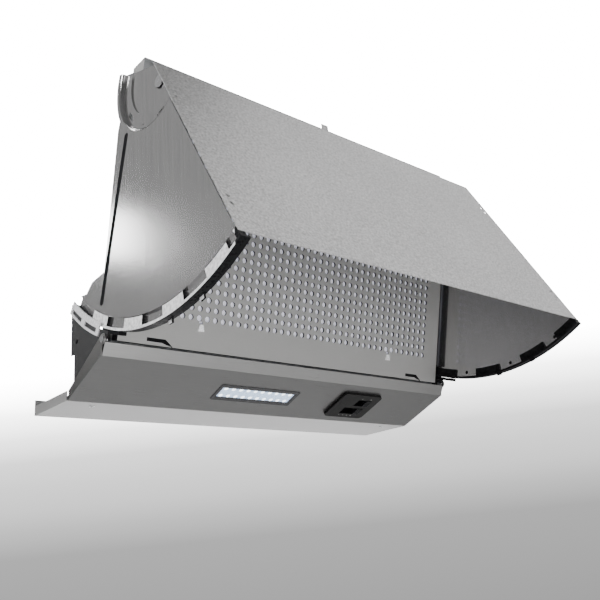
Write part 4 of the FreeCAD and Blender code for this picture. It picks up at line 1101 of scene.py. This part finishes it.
@dataclass
class Studio:
    """Floor, backdrop, lights and camera.

    Args:
        floor_z: Height of the floor.
        floor_half: Half of the floor's side.
        floor_colour: Colour of the floor.
        floor_roughness: Roughness of the floor.
        eye: Place of the camera.
        right: Camera's right.
        forward: Camera's view.
        focal: Focal length in pixels of the photo's frame.
        frame_width: Width of the photo's frame in pixels.
        sensor: Sensor width in millimetres.
        near: Nearest distance that the camera shows.
        sky: (height, brightness) where the surrounding light starts and stops to rise.
        surround: Colour of the plain surround.
        backdrop_away: Distance of the backdrop from the camera.
        backdrop_half: Half of the backdrop's side.
        backdrop_light: Strength of the backdrop's brightest part.
        backdrop_tilt: Slope of the backdrop's fade.
        backdrop_stops: (height, brightness) along the fade, as shares.
    """

    floor_z: float = -0.9
    floor_half: float = 6.0
    floor_colour: Colour = (0.78, 0.78, 0.79)
    floor_roughness: float = 0.6
    eye: Point = (-0.6776, -0.9353, -0.5026)
    right: Point = (0.7568, -0.64861, -0.08097)
    forward: Point = (0.63501, 0.7002, 0.32631)
    focal: float = 758.693
    frame_width: float = 600.0
    sensor: float = 36.0
    near: float = 0.01
    sky: tuple[Limits, Limits] = ((0.42, 0.04), (0.85, 0.12))
    surround: Colour = (0.85, 0.85, 0.86)
    backdrop_away: float = 4.0
    backdrop_half: float = 1.8
    backdrop_light: float = 20.0
    backdrop_tilt: float = 0.1
    backdrop_stops: tuple[Limits, ...] = (
        (0.0, 0.022), (0.16, 0.028), (0.20, 0.042), (0.231, 0.056), (0.266, 0.066), (0.301, 0.082),
        (0.336, 0.15), (0.371, 0.29), (0.441, 1.0),
    )

    def build(self) -> None:
        """Make the whole studio."""
        self._camera()
        self._world()
        self._floor()
        self._backdrop()
        for softbox in SOFTBOXES:
            softbox.hang()

    def _turn(self) -> Matrix:
        """Turn that sets a piece square to the camera.

        Returns:
            The turn.
        """
        right = Vector(self.right).normalized()
        back = -Vector(self.forward).normalized()
        upward = back.cross(right).normalized()
        return Matrix((right, upward, back)).transposed().to_4x4()

    def _camera(self) -> None:
        """Make the camera at the photo's viewpoint."""
        data = bpy.data.cameras.new("photo_camera")
        data.sensor_width = self.sensor
        data.lens = self.focal * self.sensor / self.frame_width
        data.clip_start = self.near
        camera = bpy.data.objects.new("photo_camera", data)
        bpy.context.scene.collection.objects.link(camera)
        camera.matrix_world = Matrix.Translation(Vector(self.eye)) @ self._turn()
        bpy.context.scene.camera = camera

    def _world(self) -> None:
        """Set a soft surrounding light, brighter above, behind a plain pale surround."""
        world = bpy.data.worlds.new("studio")
        world.use_nodes = True
        nodes = world.node_tree.nodes
        links = world.node_tree.links
        shade = nodes["Background"]
        place = nodes.new("ShaderNodeTexCoord")
        split = nodes.new("ShaderNodeSeparateXYZ")
        ramp = nodes.new("ShaderNodeValToRGB")
        height = nodes.new("ShaderNodeMapRange")
        height.inputs["From Min"].default_value = -1.0
        height.inputs["From Max"].default_value = 1.0
        for stop, (position, value) in zip(ramp.color_ramp.elements, self.sky):
            stop.position = position
            stop.color = self._grey(value)
        links.new(place.outputs["Generated"], split.inputs["Vector"])
        links.new(split.outputs["Z"], height.inputs["Value"])
        links.new(height.outputs["Result"], ramp.inputs["Fac"])
        links.new(ramp.outputs["Color"], shade.inputs["Color"])
        pale = nodes.new("ShaderNodeBackground")
        pale.inputs["Color"].default_value = (*self.surround, 1.0)
        path = nodes.new("ShaderNodeLightPath")
        choice = nodes.new("ShaderNodeMixShader")
        links.new(path.outputs["Is Camera Ray"], choice.inputs["Fac"])
        links.new(shade.outputs["Background"], choice.inputs[1])
        links.new(pale.outputs["Background"], choice.inputs[2])
        links.new(choice.outputs["Shader"], nodes["World Output"].inputs["Surface"])
        bpy.context.scene.world = world

    @staticmethod
    def _grey(value: float) -> tuple[float, float, float, float]:
        """Opaque grey of a brightness."""
        return value, value, value, 1.0

    def _sheet(self, name: str, half: float, material: bpy.types.Material) -> bpy.types.Object:
        """Make a square sheet of the studio.

        Args:
            name: Its name.
            half: Half of its side.
            material: Its material.

        Returns:
            The sheet, at the origin.
        """
        mesh = bmesh.new()
        outline = corners((-half, half), (-half, half))
        mesh.faces.new([mesh.verts.new((x, y, 0.0)) for x, y in outline])
        data = bpy.data.meshes.new(name)
        mesh.to_mesh(data)
        mesh.free()
        data.materials.append(material)
        sheet = bpy.data.objects.new(name, data)
        bpy.context.scene.collection.objects.link(sheet)
        return sheet

    def _floor(self) -> None:
        """Lay a plain pale floor."""
        material = bpy.data.materials.new("studio_floor")
        material.use_nodes = True
        shader = material.node_tree.nodes["Principled BSDF"]
        shader.inputs["Base Color"].default_value = (*self.floor_colour, 1.0)
        shader.inputs["Roughness"].default_value = self.floor_roughness
        floor = self._sheet("studio_floor", self.floor_half, material)
        floor.location = (0.0, 0.0, self.floor_z)

    def _backdrop(self) -> None:
        """Hang a lit backdrop that fades to grey near its foot."""
        material = bpy.data.materials.new("studio_backdrop")
        material.use_nodes = True
        nodes = material.node_tree.nodes
        links = material.node_tree.links
        nodes.remove(nodes["Principled BSDF"])
        glow = nodes.new("ShaderNodeEmission")
        glow.inputs["Strength"].default_value = self.backdrop_light
        place = nodes.new("ShaderNodeTexCoord")
        split = nodes.new("ShaderNodeSeparateXYZ")
        height = nodes.new("ShaderNodeMapRange")
        height.inputs["From Min"].default_value = -self.backdrop_half
        height.inputs["From Max"].default_value = self.backdrop_half
        ramp = nodes.new("ShaderNodeValToRGB")
        first, *between, last = self.backdrop_stops
        for stop, (position, value) in zip(ramp.color_ramp.elements, (first, last)):
            stop.position = position
            stop.color = self._grey(value)
        for position, value in between:
            ramp.color_ramp.elements.new(position).color = self._grey(value)
        links.new(place.outputs["Object"], split.inputs["Vector"])
        x, y = split.outputs["X"], split.outputs["Y"]
        tilted = Finish._math(nodes, links, "MULTIPLY_ADD", x, -self.backdrop_tilt, y)
        links.new(tilted, height.inputs["Value"])
        links.new(height.outputs["Result"], ramp.inputs["Fac"])
        links.new(ramp.outputs["Color"], glow.inputs["Color"])
        links.new(glow.outputs["Emission"], nodes["Material Output"].inputs["Surface"])
        backdrop = self._sheet("studio_backdrop", self.backdrop_half, material)
        away = Vector(self.eye) + Vector(self.forward).normalized() * self.backdrop_away
        backdrop.visible_diffuse = False
        backdrop.visible_glossy = False
        backdrop.matrix_world = Matrix.Translation(away) @ self._turn()


def assemblies() -> list[SubAssembly]:
    """List the bodies of the hood.

    Returns:
        A sub-assembly for each body.
    """
    black = Role.GLOSS_BLACK
    return [
        Casing(),
        Visor(),
        LampUnit(),
        SlideKnob("fan_control", {"fan_slider": black}),
        SlideKnob("lamp_control", {"lamp_slider": black}, x=(0.1492, 0.1602), along=(0.0293, 0.0437)),
        FilterTray(),
        FilterCatch("left_filter_catch", {"left_catch": Role.CATCH}),
        FilterCatch("right_filter_catch", {"right_catch": Role.CATCH}),
        FanWheel(),
        DamperLeaf("rear_leaf", {"rear_damper": Role.DARK_GREY}),
        DamperLeaf("front_leaf", {"front_damper": Role.DARK_GREY}),
    ]


def main() -> None:
    """Dress the hood and set up the studio."""
    logging.basicConfig(level=logging.INFO, format="%(name)s: %(message)s")
    palette = Palette(FINISHES)
    for part in assemblies():
        part.dress(palette)
        part.build(palette)
    Studio().build()


if __name__ == "__main__":
    main()
